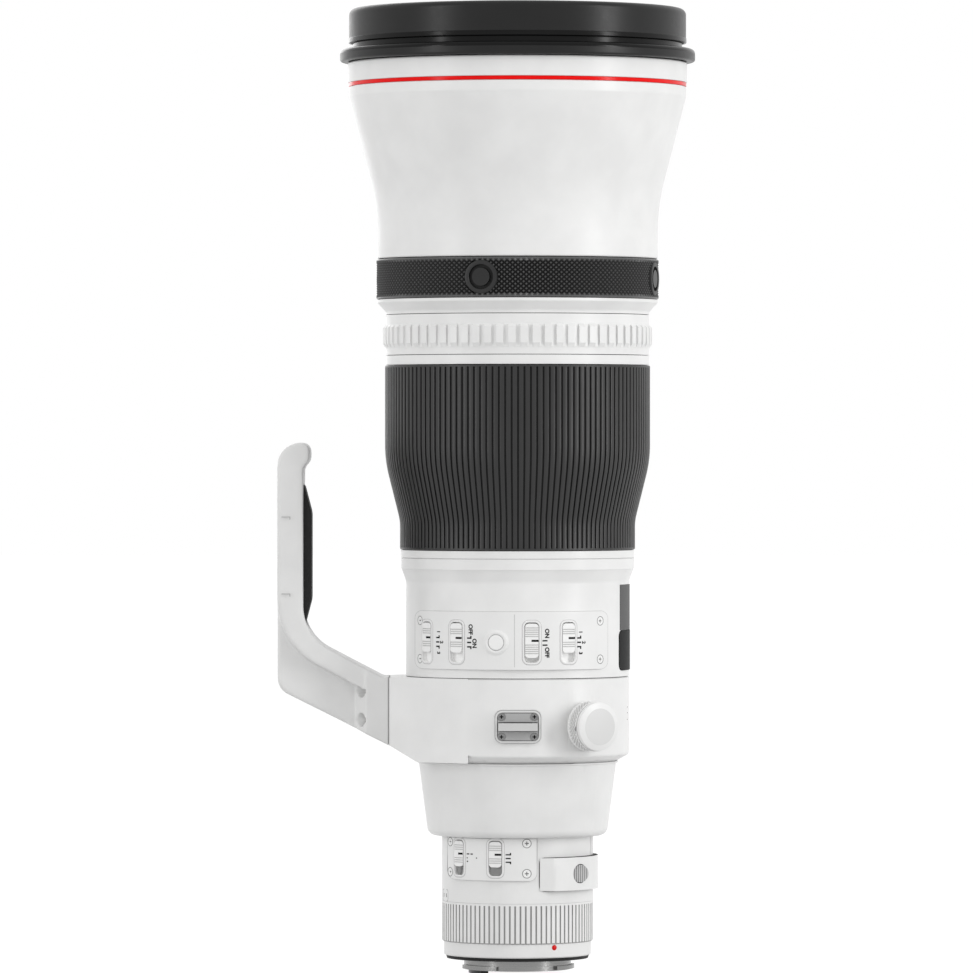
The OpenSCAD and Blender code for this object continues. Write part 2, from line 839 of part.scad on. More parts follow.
module middle_elements() {
    r = main_high_r - main_wall - slack;
    z0 = z_element_ledge + slack;
    z1 = z0 + element_rim + spacer_ring_h;
    color(glass_tint) {
        turned(lens_outline(r, z0, z0 + element_rim, element_sag / 2, element_sag));
        turned(lens_outline(r, z1, z1 + element_rim, element_sag / 2, element_sag));
    }
    color(metal_black)
        tube(r - element_ledge, r, z0 + element_rim + 2 * slack, z1 - slack);
}

// Middle barrel and its controls

module mid_barrel() {
    seam_z = z_mid1 - band_seam_drop;
    seat_r = main_low_r + fit;
    color(paint_white) difference() {
        turned(concat([[core_in_r, z_core0], [core_r, z_core0], [core_r, z_mid0]],
            rounded([[mid_r, z_mid0, 0], [mid_r, z_step0, step_h],
                [band_r - step_lip, z_step0 + step_h, 0], [band_r, z_step0 + step_h + step_lip, 0],
                [band_r, seam_z - seam, 0]]),
            [[band_r - band_seam_d, seam_z - seam], [band_r - band_seam_d, seam_z], [band_r, seam_z],
                [band_r, z_mid1], [seat_r, z_mid1], [seat_r, z_main0 - fit], [mid_in_r, z_main0 - fit],
                [mid_in_r, z_floor], [core_in_r, z_floor]]));
        for (az = [speed_az, preset_az, stabiliser_az, mode_az]) around(az, z_slot)
            radial_plate(slot_w, slot_l, slot_round, mid_r - slider_root - slack, mid_r + cut);
        around(set_az, z_slot) radial_peg(set_r + slack, mid_in_r - cut, mid_r + cut);
        difference() {
            union() {
                side_prism(plate_half_w + fit, z_window1, z_window1 + plate_h + fit, fit);
                side_prism(window_half_w + fit, z_window0 - fit, z_window1 + fit, window_round);
            }
            tube(0, mid_r + plate_proud - plate_t - fit, z_mid0, z_mid1);
        }
        side_prism(sight_half_w, z_sight0, z_sight0 + sight_h, edge);
    }
}

// Prism along +X over a rounded window of half width w between two heights
module side_prism(w, z0, z1, round) {
    translate([0, 0, (z0 + z1) / 2]) rotate([90, 0, 90])
        linear_extrude(panel_lobe_r) polygon(plate_outline(2 * w, z1 - z0, round));
}

module side_plate() {
    color(metal_grey) intersection() {
        tube(mid_r + plate_proud - plate_t, mid_r + plate_proud - edge / 4, z_mid0, z_mid1);
        side_prism(plate_half_w, z_window1 + fit, z_window1 + plate_h, edge);
    }
}

module scale_window() {
    color([0.2, 0.2, 0.2, 0.8]) intersection() {
        tube(mid_r + plate_proud - plate_t, mid_r + plate_proud, z_mid0, z_mid1);
        side_prism(window_half_w, z_window0, z_window1 - fit, window_round);
    }
}

// The two lobes of the upper panel's surface, joined in a ridge at azimuth 0
module panel_lobes() {
    for (side = [-1, 1]) intersection() {
        translate([-side * lobe_shift, 0, z_panel0]) cylinder(r = panel_lobe_r, h = panel_h);
        translate([side > 0 ? 0 : -panel_lobe_r, -panel_lobe_r, z_panel0])
            cube([panel_lobe_r, panel_lobe_r, panel_h]);
    }
}

module upper_switch_panel() {
    color(paint_white) difference() {
        intersection() {
            union() {
                panel_lobes();
                around(set_az, z_slot) radial_peg(set_collar_r, mid_r, panel_surface(set_az)
                    + set_collar_rise);
            }
            translate([(panel_right - panel_left) / 2, 0, z_panel]) rotate([90, 0, 0])
                linear_extrude(panel_lobe_r + cut)
                    polygon(plate_outline(panel_left + panel_right, panel_h, panel_round));
        }
        tube(0, mid_r + fit, z_mid0, z_mid1);
        for (az = [speed_az, preset_az, stabiliser_az, mode_az]) around(az, z_slot)
            radial_plate(slot_w, slot_l, slot_round, mid_r - cut, panel_lobe_r + cut);
        around(set_az, z_slot) radial_peg(set_r + fit, mid_r - cut, panel_lobe_r + cut);
        upper_screw_places() radial_peg(screw_head_r + fit, mid_r - cut, panel_lobe_r + cut);
    }
}

module upper_screw_places() {
    for (az = [upper_screw_left_az, upper_screw_right_az], side = [-1, 1])
        around(az, z_panel + side * upper_screw_up) children();
}

module lower_screw_places() {
    for (az = [low_screw_left_az, low_screw_right_az], side = [-1, 1])
        around(az, z_low_slot + side * low_screw_up) children();
}

module upper_slider(az, l) {
    top = panel_surface(az) + slider_proud;
    color(paint_white) around(az, z_slot + slot_l / 2 - l / 2 - edge)
        slider(slot_w - 2 * slack, l, mid_r - slider_root, top);
}

module speed_switch() {
    upper_slider(speed_az, slider_l);
}

module preset_switch() {
    upper_slider(preset_az, slider_l);
}

module stabiliser_switch() {
    upper_slider(stabiliser_az, long_slider_l);
}

module mode_switch() {
    upper_slider(mode_az, slider_l);
}

module set_button() {
    color(paint_white) around(set_az, z_slot)
        radial_peg(set_r, mid_in_r + set_travel, panel_surface(set_az) + set_collar_rise + slack);
}

module panel_screws() {
    color(steel) {
        for (az = [upper_screw_left_az, upper_screw_right_az], side = [-1, 1])
            around(az, z_panel + side * upper_screw_up)
                cross_screw(screw_head_r, panel_surface(az) - mid_r - fit, panel_surface(az));
        lower_screw_places() cross_screw(screw_head_r, low_panel_rise - fit, low_panel_r);
    }
}

module scale_drum() {
    color(metal_black) turned([[drum_r - drum_t, z_sight0 - drum_over], [drum_r, z_sight0 - drum_over],
        [drum_r, z_cam0 + drum_web], [cam_r + fit, z_cam0 + drum_web], [cam_r + fit, z_cam0],
        [drum_r - drum_t, z_cam0]]);
}

// Tripod collar

// Plan of the collar: the circle and the lines from it that are tangent to the foot's joint
module collar_plan(r) {
    reach = norm([boss_r0, boss_half_w]);
    turn = atan2(boss_half_w, boss_r0) + acos(r / reach);
    touch = r * [cos(turn), sin(turn)];
    circle(r = r);
    polygon([[-boss_r0, -boss_half_w], [-boss_r0, boss_half_w], [-touch.x, touch.y],
        [-touch.x, -touch.y]]);
}

module tripod_collar() {
    lip_in = core_in_r + lip_gap;
    bush_out = bush_r + fit;
    z_bush1 = z_collar1 - top_lip_h;
    top_in = core_r + lip_gap;
    low_r = cone_lip_r - collar_edge_lip;
    color(paint_white) difference() {
        union() {
            turned(concat([[lip_in, z_collar0]],
                rounded([[low_r, z_collar0, 0], [mid_r, z_collar0 + collar_edge_h, collar_edge_h / 2],
                    [mid_r, z_collar1 - edge, 0], [mid_r - edge, z_collar1, 0]]),
                [[lip_in, z_collar1]]));
            intersection() {
                translate([0, 0, z_collar0]) linear_extrude(collar_h) collar_plan(mid_r);
                slab(2 * mid_r) polygon([[-boss_r0, z_joint0], [-boss_r0, z_joint1 - edge],
                    [-boss_r0 + edge, z_joint1], [-cone_high_r / 2, z_joint1],
                    [-cone_high_r / 2, z_collar0], [-low_r, z_collar0]]);
            }
            around(knob_az, z_knob) radial_peg(knob_boss_r, bush_r, mid_r + knob_boss_rise);
        }
        turned([[0, z_collar0 - cut], [lip_in, z_collar0 - cut], [lip_in, z_core0 - seam],
            [bush_out, z_core0 - seam], [bush_out, z_bush1], [top_in, z_bush1],
            [top_in, z_collar1 + cut], [0, z_collar1 + cut]]);
        around(knob_az, z_knob) radial_peg(knob_stem_r + fit, core_r, mid_r + knob_boss_rise + cut);
        lug_places() radial_plate(lug_plate_w + slack, lug_plate_h + slack, lug_plate_round,
            mid_r - lug_plate_sink - fit, mid_r + cut);
        foot_screw_places() cylinder(r = foot_screw_r + fit, h = shoulder_w + foot_screw_depth + fit);
    }
}

module collar_bush() {
    color(brass_yellow) difference() {
        tube(core_r + fit, bush_r, z_core0 - seam + fit, z_collar1 - top_lip_h - fit);
        around(knob_az, z_knob) radial_peg(knob_stem_r + slack, core_r - cut, bush_r + cut);
    }
}

module lug_places() {
    for (az = [0, 180]) around(az, z_knob) children();
}

module strap_lugs() {
    base = mid_r - lug_plate_sink;
    top = mid_r + lug_plate_top;
    bar0 = top + lug_bar_gap;
    color(steel) lug_places() {
        difference() {
            radial_plate(lug_plate_w, lug_plate_h, lug_plate_round - fit, base, top);
            lug_screw_places() radial_peg(lug_screw_r + fit, base - cut, top + cut);
        }
        translate([0, 0, bar0]) linear_extrude(lug_bar_t)
            polygon(plate_outline(lug_bar_w, lug_bar_h, edge));
        for (side = [-1, 1])
            translate([side * (lug_bar_w - lug_post_w) / 2 - lug_post_w / 2, -lug_bar_h / 2, top - edge])
                cube([lug_post_w, lug_bar_h, lug_bar_gap + edge + lug_bar_t / 2]);
    }
}

module lug_screw_places() {
    for (x = [-1, 1], y = [-1, 1]) translate([x * lug_screw_x, y * lug_screw_z, 0]) children();
}

module lug_screws() {
    color(steel) lug_places() lug_screw_places()
        cross_screw(lug_screw_r, lug_plate_top + lug_plate_sink - fit, mid_r + lug_plate_top + slack);
}

module lock_knob() {
    base = mid_r + knob_boss_rise + slack;
    top = base + knob_h;
    cap0 = top - knob_bevel_h - knob_cap_t;
    color(paint_white) around(knob_az, z_knob) rotate_extrude() polygon([
        [0, core_r + stem_in], [knob_stem_r, core_r + stem_in], [knob_stem_r, base],
        [knob_r - edge, base], [knob_r, base + edge], [knob_r, cap0 - knob_neck_h],
        [knob_r - knob_neck_d - knob_cap_in, cap0 - knob_neck_h],
        [knob_r - knob_neck_d - knob_cap_in, cap0], [knob_r - knob_cap_in, cap0],
        [knob_r - knob_cap_in, top - knob_bevel_h],
        [knob_r - knob_cap_in - knob_bevel_w, top], [0, top]]);
}

// Foot

// Centre lines of the foot screws, from their heads towards the collar
module foot_screw_places() {
    for (y = [-1, 1], i = [0, 1])
        translate([-joint_x - shoulder_w, y * foot_screw_y,
            z_joint0 + foot_screw_low + i * foot_screw_pitch])
            rotate([0, 90, 0]) children();
}

// Side view of the foot and its arm
function foot_outline() =
    let (under = z_joint0 + under_slope * (foot_x - foot_x0),
        arm_x = foot_x0 + arm_level_w,
        crook = z_joint1 + arm_slope * (foot_tip_x - arm_x))
    rounded([[-foot_x0, z_joint0, 0], [-foot_x, under, heel_round], [-foot_x, z_foot1, hook_round],
        [-foot_tip_x + hook_w - hook_bevel, z_foot1, 0], [-foot_tip_x + hook_w, z_foot1 - hook_bevel, 0],
        [-foot_tip_x + hook_w, z_foot1 - hook_h, 0], [-foot_tip_x, z_foot1 - hook_h - hook_w - edge, 0],
        [-foot_tip_x, crook, crook_round], [-arm_x, z_joint1, 0], [-foot_x0, z_joint1, 0]]);

// Part of the side view that the thick rim covers
function rim_outline() =
    let (arm_x = foot_x0 + arm_level_w,
        low = z_joint1 - rim_fall,
        crook = low + arm_slope * (foot_x - arm_x))
    rounded([[-foot_x, z_foot1 + cut, 0], [-foot_x, crook, crook_round + bar_t], [-arm_x, low, 0],
        [-foot_x0 + cut, low, 0], [-foot_x0 + cut, z_foot1 + cut, 0]]);

module tripod_foot() {
    shoulder_x = joint_x + shoulder_w;
    color(paint_white) difference() {
        union() {
            slab(web_w) polygon(foot_outline());
            intersection() {
                slab(bar_w) polygon(foot_outline());
                slab(bar_w + cut) polygon(rim_outline());
            }
            intersection() {
                slab(2 * boss_half_w + cut) polygon(foot_outline());
                translate([0, 0, z_joint0]) linear_extrude(foot_rise) polygon([
                    [-foot_x0, -boss_half_w], [-foot_x0, boss_half_w],
                    [-shoulder_x + edge, boss_half_w], [-shoulder_x - ramp_w, web_w / 2],
                    [-shoulder_x - ramp_w, -web_w / 2], [-shoulder_x + edge, -boss_half_w]]);
            }
        }
        translate([-foot_tip_x - pad_sink, -pad_w / 2 - slack, z_pad0 - slack])
            cube([bar_t, pad_w + 2 * slack, pad_h + 2 * slack]);
        foot_screw_places() {
            translate([0, 0, -shoulder_w]) cylinder(r = foot_head_r + slack, h = shoulder_w + foot_head_h);
            cylinder(r = foot_screw_r + fit, h = 2 * shoulder_w);
        }
        translate([-foot_x - cut, 0, z_sockets - socket_pitch / 2]) rotate([0, 90, 0])
            cylinder(r = big_socket_r, h = socket_depth + cut);
        translate([-foot_x - cut, 0, z_sockets + socket_pitch / 2]) rotate([0, 90, 0])
            cylinder(r = small_socket_r, h = socket_depth + cut);
    }
}

module foot_pad() {
    x0 = -foot_tip_x - pad_sink + slack;
    x1 = x0 + pad_t;
    color(rubber_black) slab(pad_w) polygon(rounded([[x0, z_pad0, 0], [x0, z_pad0 + pad_h, 0],
        [x0 + pad_sink, z_pad0 + pad_h, 0], [x1, z_pad0 + pad_h - pad_bevel, pad_bevel],
        [x1, z_pad0 + pad_bevel, pad_bevel], [x0 + pad_sink, z_pad0, 0]]));
}

module foot_screws() {
    color(steel) foot_screw_places() difference() {
        union() {
            translate([0, 0, slack]) cylinder(r = foot_head_r, h = foot_head_h - slack - fit);
            cylinder(r = foot_screw_r, h = shoulder_w + foot_screw_depth);
        }
        translate([0, 0, -cut]) cylinder(r = foot_head_r / 2, h = foot_head_h / 2 + cut, $fn = 6);
    }
}

// Rear cone and rear barrel

module rear_cone() {
    hole = rear_r + seam;
    spigot = core_in_r - fit;
    z_top = z_core0 + cone_floor_t;
    color(paint_white) turned(concat([[hole, z_cone0]],
        rounded([[hole + edge, z_cone0, 0], [cone_low_r, z_cone0, cone_round],
            [cone_high_r, z_cone1 - cone_lip_h, 0]]),
        [[cone_lip_r, z_cone1 - cone_lip_h + edge / 2], [cone_lip_r, z_cone1], [spigot, z_cone1],
            [spigot, z_top], [spigot - cone_wall, z_top],
            [cone_high_r - 2 * cone_wall, z_cone1 - cone_lip_h],
            [cone_low_r - cone_wall, z_cone0 + cone_floor_t + cone_round],
            [cone_low_r - cone_wall - cone_round / 2, z_cone0 + cone_floor_t],
            [hole, z_cone0 + cone_floor_t]]));
}

module rear_barrel() {
    spigot = rear_in_r - fit;
    z_low = z_flank - frame_h / 2 - frame_gap;
    z_high = z_flank + frame_h / 2 + frame_gap;
    z_spigot0 = z_rear0 - spigot_l;
    color(paint_white) difference() {
        turned([[spigot - spigot_wall, z_spigot0], [spigot, z_spigot0], [spigot, z_rear0 + fit],
            [rear_r, z_rear0 + fit], [rear_r, z_barrel_flange], [rear_r + barrel_flange_w, z_barrel_flange],
            [rear_r + barrel_flange_w, z_barrel1], [rear_cell_r, z_barrel1],
            [rear_cell_r, z_high + floor_plate_t], [filter_r - filter_ledge, z_high + floor_plate_t],
            [filter_r - filter_ledge, z_high], [rear_in_r, z_high], [rear_in_r, z_low],
            [filter_r - filter_ledge, z_low], [filter_r - filter_ledge, z_low - floor_plate_t],
            [spigot - spigot_wall, z_low - floor_plate_t]]);
        translate([0, -frame_half_w - frame_gap, z_low])
            cube([flank_r, 2 * (frame_half_w + frame_gap), z_high - z_low]);
        for (az = [focus_mode_az, range_az]) around(az, z_low_slot)
            radial_plate(low_slot_w, low_slot_l, low_slot_round, rear_r - low_slider_root - slack,
                rear_r + cut);
    }
}

module lower_switch_panel() {
    z1 = z_cone0 - seam;
    // The rounded top of the outline is cut off under the cone
    h = z1 + low_panel_round - z_low_panel0;
    color(paint_white) difference() {
        intersection() {
            tube(rear_r + fit, low_panel_r, z_low_panel0, z1);
            translate([(low_panel_right - low_panel_left) / 2, 0, z_low_panel0 + h / 2])
                rotate([90, 0, 0]) linear_extrude(low_panel_r)
                    polygon(plate_outline(low_panel_left + low_panel_right, h, low_panel_round));
        }
        for (az = [focus_mode_az, range_az]) around(az, z_low_slot)
            radial_plate(low_slot_w, low_slot_l, low_slot_round, rear_in_r, low_panel_r + cut);
        lower_screw_places() radial_peg(screw_head_r + fit, rear_in_r, low_panel_r + cut);
    }
}

module lower_slider(az) {
    color(paint_white) around(az, z_low_slot + low_slot_l / 2 - low_slider_l / 2 - edge)
        slider(low_slot_w - 2 * slack, low_slider_l, rear_r - low_slider_root,
            low_panel_r + slider_proud);
}

module focus_mode_switch() {
    lower_slider(focus_mode_az);
}

module range_switch() {
    lower_slider(range_az);
}

// Drop-in filter holder

// Plan of the flank's shell, with bevelled ends
module flank_plan() {
    inner = rear_r + seam;
    end = flank_half_az;
    round_at = end - flank_bevel_az;
    steps = 4 * arc_steps;
    polygon(concat(
        [for (i = [0 : steps]) let (a = -round_at + 2 * round_at * i / steps)
            flank_r * [cos(a), sin(a)]],
        [for (i = [0 : steps]) let (a = end - 2 * end * i / steps) inner * [cos(a), sin(a)]]));
}

module filter_holder() {
    z0 = z_flank - frame_h / 2;
    wing = flank_r * sin(flank_half_az);
    color(paint_white) difference() {
        union() {
            intersection() {
                translate([0, 0, z_flank0]) linear_extrude(flank_h) flank_plan();
                translate([0, 0, z_flank]) rotate([90, 0, 90]) linear_extrude(flank_r)
                    polygon(plate_outline(2 * wing, flank_h, flank_round));
            }
            translate([0, 0, z0]) linear_extrude(frame_h) {
                circle(r = frame_half_w);
                intersection() {
                    translate([0, -frame_half_w]) square([flank_r, 2 * frame_half_w]);
                    circle(r = rear_r + seam + edge / 2);
                }
            }
        }
        translate([0, 0, z0 + filter_ledge]) cylinder(r = filter_r + fit, h = frame_h);
        translate([0, 0, z0 - cut]) cylinder(r = filter_r - filter_ledge, h = frame_h);
        for (side = [-1, 1]) latch_place(side)
            radial_peg(latch_r + latch_gap, latch_proud - latch_t - latch_travel - slack,
                latch_proud + latch_r);
    }
}

module filter_glass() {
    color(glass_tint) translate([0, 0, z_flank - frame_h / 2 + filter_ledge + fit])
        cylinder(r = filter_r, h = filter_t);
}

// Places a latch on the flank, facing the way in which it is squeezed
module latch_place(side) {
    rotate([0, 0, 90 + side * latch_az]) translate([0, -flank_r, z_flank])
        rotate([90, 0, side * latch_tilt]) children();
}

module latch_button(side) {
    pitch = 2 * latch_r / (latch_grooves + 1);
    color(metal_grey) latch_place(side) difference() {
        radial_peg(latch_r, latch_proud - latch_t, latch_proud);
        for (i = [1 : latch_grooves])
            translate([-latch_r + i * pitch - latch_groove_w / 2, -latch_r, latch_proud - latch_groove_d])
                cube([latch_groove_w, 2 * latch_r, latch_t]);
    }
}

// Mount

module mount_screw_places() {
    for (i = [0 : 3]) rotate([0, 0, 45 + 90 * i]) translate([mount_screw_pcd_r, 0, 0]) children();
}

module rear_grip_ring() {
    z_low = z_grooved0 + groove_rest;
    color(paint_white) difference() {
        turned([[flange_r + fit, z_plain0], [plain_ring_r - edge, z_plain0],
            [plain_ring_r, z_plain0 + edge], [plain_ring_r, z_grooved0], [rear_r - edge, z_grooved0],
            [rear_r, z_grooved0 + edge], [rear_r, z_rear0], [rear_in_r, z_rear0],
            [rear_in_r, mount_seat_z1], [mount_seat_in_r, mount_seat_z1],
            [mount_seat_in_r, mount_seat_z], [flange_r + fit, mount_seat_z]]);
        mount_screw_places() cylinder(r = mount_screw_r + fit, h = mount_seat_z1 + cut);
        for (i = [0 : groove_count - 1]) rotate([0, 0, i * 360 / groove_count])
            translate([rear_r - groove_d, -groove_w / 2, z_low - cut])
                cube([rear_r, groove_w, z_rear0 - z_low]);
    }
}

module mount_seal() {
    z1 = z_plain0 - fit;
    color(rubber_black) turned([[seal_r - seal_wall, -seal_drop], [seal_r - seal_wall / 2, -seal_drop],
        [seal_r, z1], [flange_r + fit, z1], [flange_r + fit, 0]]);
}

module bayonet() {
    step_r = lug_r + mount_relief;
    root_r = spigot_r + mount_relief / 2;
    color(steel) difference() {
        union() {
            turned([[throat_r, -spigot_h], [spigot_r, -spigot_h], [spigot_r, 0], [root_r, mount_relief],
                [step_r, mount_relief], [step_r, 0], [flange_r, 0], [flange_r, flange_t],
                [throat_r, flange_t]]);
            for (i = [0 : 2]) rotate([0, 0, mount_lug_turn + 120 * i]) intersection() {
                tube(spigot_r - edge, lug_r, -spigot_h + mount_relief, -spigot_h + mount_relief
                    + mount_lug_h);
                translate([0, 0, -spigot_h]) linear_extrude(spigot_h) polygon([[0, 0],
                    2 * lug_r * [cos(mount_lug_az / 2), -sin(mount_lug_az / 2)],
                    2 * lug_r * [cos(mount_lug_az / 2), sin(mount_lug_az / 2)]]);
            }
        }
        mount_screw_places() translate([0, 0, -cut])
            cylinder(r = mount_screw_r + slack, h = flange_t + 2 * cut);
    }
}

module bayonet_screws() {
    color(steel) mount_screw_places() difference() {
        translate([0, 0, fit]) cylinder(r = mount_screw_r, h = mount_screw_l);
        for (turn = [0, 90]) rotate([0, 0, turn])
            translate([-mount_screw_r / 2, -cross_w / 2, -cut]) cube([mount_screw_r, cross_w, 2 * cut]);
    }
}

// Sector of a ring that is centred on -X
module foot_side_sector(half_az, reach) {
    polygon([[0, 0], 2 * reach * [-cos(half_az), -sin(half_az)], [-2 * reach, 0],
        2 * reach * [-cos(half_az), sin(half_az)]]);
}

module contact_block() {
    z0 = -spigot_h - block_drop;
    z1 = flange_t + floor_plate_t;
    color(metal_black) intersection() {
        union() {
            tube(block_r - block_t, block_r, z0, z1);
            tube(block_r - block_t, mount_seat_in_r - slack, flange_t + fit, z1);
        }
        translate([0, 0, z0]) linear_extrude(z1 - z0) foot_side_sector(block_half_az, flange_r);
    }
    color(brass_yellow) for (i = [0 : pin_count - 1])
        rotate([0, 0, block_half_az * (2 * (i + 1) / (pin_count + 1) - 1)])
            translate([-block_r + block_t / 2, 0, z0 - contact_proud])
                cylinder(r = contact_r, h = 2 * contact_proud);
}

// Inside

module guide_tube() {
    z_slot0 = z_pin - focus_travel - pin_r - slack;
    z_slot1 = z_pin + pin_r + slack;
    color(metal_grey) difference() {
        union() {
            tube(guide_in_r, guide_r, z_guide0, z_guide1 + guide_flange_t);
            tube(guide_in_r, main_low_in_r, z_guide1, z_guide1 + guide_flange_t);
        }
        for (i = [0 : 2]) rotate([0, 0, 120 * i])
            translate([0, -pin_r - slack, z_slot0])
                cube([guide_r + cut, 2 * (pin_r + slack), z_slot1 - z_slot0]);
    }
}

// Slanted slot that drives a pin down as the ring turns
module cam_slot() {
    lead = cam_turn / focus_travel;
    rise = pin_r + 2 * slack;
    low = focus_travel + rise;
    half = rise * sqrt(1 + (lead * PI * cam_r / 180) ^ 2);
    translate([0, 0, z_pin - low]) rotate([0, 0, -low * lead])
        linear_extrude(low + rise, twist = -(low + rise) * lead, slices = 24, $fn = 12)
            translate([cam_in_r - cut, -half]) square([cam_wall + 2 * cut, 2 * half]);
}

module cam_ring() {
    z_rotor = z_cam1 - rotor_drop;
    color(metal_grey) {
        difference() {
            tube(cam_in_r, cam_r, z_cam0, z_cam1);
            for (i = [0 : 2]) rotate([0, 0, 120 * i]) cam_slot();
        }
        tube(cam_r - fit, main_low_in_r - stator_gap, z_rotor - rotor_t, z_rotor);
    }
}

module focus_cell() {
    z0 = z_pin - cell_half_h;
    z1 = z_pin + cell_half_h;
    r = guide_in_r - slack;
    color(metal_grey) {
        tube(r - 2 * guide_wall, r, z0, z1);
        for (i = [0 : 2]) rotate([0, 0, 120 * i]) translate([r - guide_wall, 0, z_pin])
            rotate([0, 90, 0]) cylinder(r = pin_r, h = cam_r - slack - r + guide_wall);
    }
    color(glass_tint) turned(lens_outline(r - 2 * guide_wall, z0 + guide_wall, z1 - guide_wall,
        edge, edge));
}

module motor_stator() {
    z_rotor = z_cam1 - rotor_drop;
    color(brass_yellow) tube(main_low_in_r - stator_gap - stator_t, main_low_in_r - fit,
        z_rotor + stator_gap, z_guide_ledge - fit);
}

module stabiliser_frame() {
    color(metal_grey) tube(stab_aperture_r, core_in_r - slack, z_stab0, z_stab0 + stab_plate_t);
}

module stabiliser_carrier() {
    z0 = z_stab0 + stab_plate_t + seam;
    color(metal_black) tube(carrier_aperture_r, core_in_r - carrier_margin - stab_shift, z0,
        z0 + stab_plate_t);
}

module stabiliser_cell() {
    z0 = z_stab0 + 2 * (stab_plate_t + seam);
    color(metal_grey) tube(stab_glass_r, stab_cell_r, z0, z0 + stab_plate_t);
    color(glass_tint) turned(lens_outline(stab_glass_r, z0 - edge, z0 + stab_plate_t + edge,
        rear_sag, rear_sag));
}

module diaphragm_housing() {
    z0 = z_floor + fit;
    rim_in = mid_in_r - seam - iris_rim_w;
    color(metal_black) {
        tube(iris_aperture_r, mid_in_r - seam, z0, z0 + iris_floor_t);
        tube(rim_in, mid_in_r - seam, z0, z0 + iris_floor_t + iris_ring_t);
    }
}

module diaphragm_ring() {
    z0 = z_floor + fit + iris_floor_t + seam;
    rim_in = mid_in_r - seam - iris_rim_w;
    color(metal_grey) difference() {
        tube(iris_aperture_r + drive_tab, rim_in - seam, z0, z0 + iris_ring_t);
        for (i = [0 : 8]) rotate([0, 0, 40 * i])
            translate([iris_aperture_r + 2 * drive_tab, -edge, z0 - cut])
                cube([2 * drive_tab, 2 * edge, iris_ring_t + 2 * cut]);
    }
}

module rear_elements() {
    z0 = z_flank + frame_h / 2 + frame_gap + floor_plate_t + fit;
    color(glass_tint) turned(lens_outline(rear_glass_r, z0 + fit, z0 + rear_glass_h, fit, rear_sag));
}

module main_board() {
    r1 = rear_r + barrel_flange_w;
    z0 = z_barrel1 + seam;
    color("darkgreen") difference() {
        tube(r1 - board_w, r1, z0, z0 + board_t);
        for (i = [0 : 3]) rotate([0, 0, 45 + 90 * i]) translate([r1 - board_w / 2, 0, z0 - cut])
            cylinder(r = screw_head_r, h = board_t + 2 * cut);
    }
    color("black") for (i = [0 : chip_count - 1]) rotate([0, 0, 360 * (i + 1 / 2) / chip_count])
        translate([r1 - board_w / 2 - chip / 2, -chip / 2, z0 + board_t + fit])
            cube([chip, chip, chip_t]);
}

front_rim();
hood_flange();
front_barrel();
accent_ring();
button_ring();
function_button(0);  // function_button_1
function_button(1);  // function_button_2
function_button(2);  // function_button_3
function_button(3);  // function_button_4
trim_rings();
control_ring();
focus_sleeve();
focus_grip();
mid_barrel();
main_tube();
upper_switch_panel();
speed_switch();
preset_switch();
stabiliser_switch();
mode_switch();
set_button();
panel_screws();
side_plate();
scale_window();
scale_drum();
tripod_collar();
collar_bush();
tripod_foot();
foot_pad();
foot_screws();
strap_lugs();
lug_screws();
lock_knob();
rear_cone();
rear_barrel();
lower_switch_panel();
focus_mode_switch();
range_switch();
filter_holder();
filter_glass();
latch_button(-1);  // latch_button_left
latch_button(1);  // latch_button_right
rear_grip_ring();
mount_seal();
bayonet();
bayonet_screws();
contact_block();
front_element();
middle_elements();
guide_tube();
cam_ring();
focus_cell();
motor_stator();
stabiliser_frame();
stabiliser_carrier();
stabiliser_cell();
diaphragm_housing();
diaphragm_ring();
rear_elements();
main_board();
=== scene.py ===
"""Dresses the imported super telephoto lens: paint, rubber, knurls, lettering, glass, light and camera."""
import json
import math

import bmesh
import bpy
from bpy.props import FloatProperty, FloatVectorProperty, IntProperty
from mathutils import Matrix, Vector

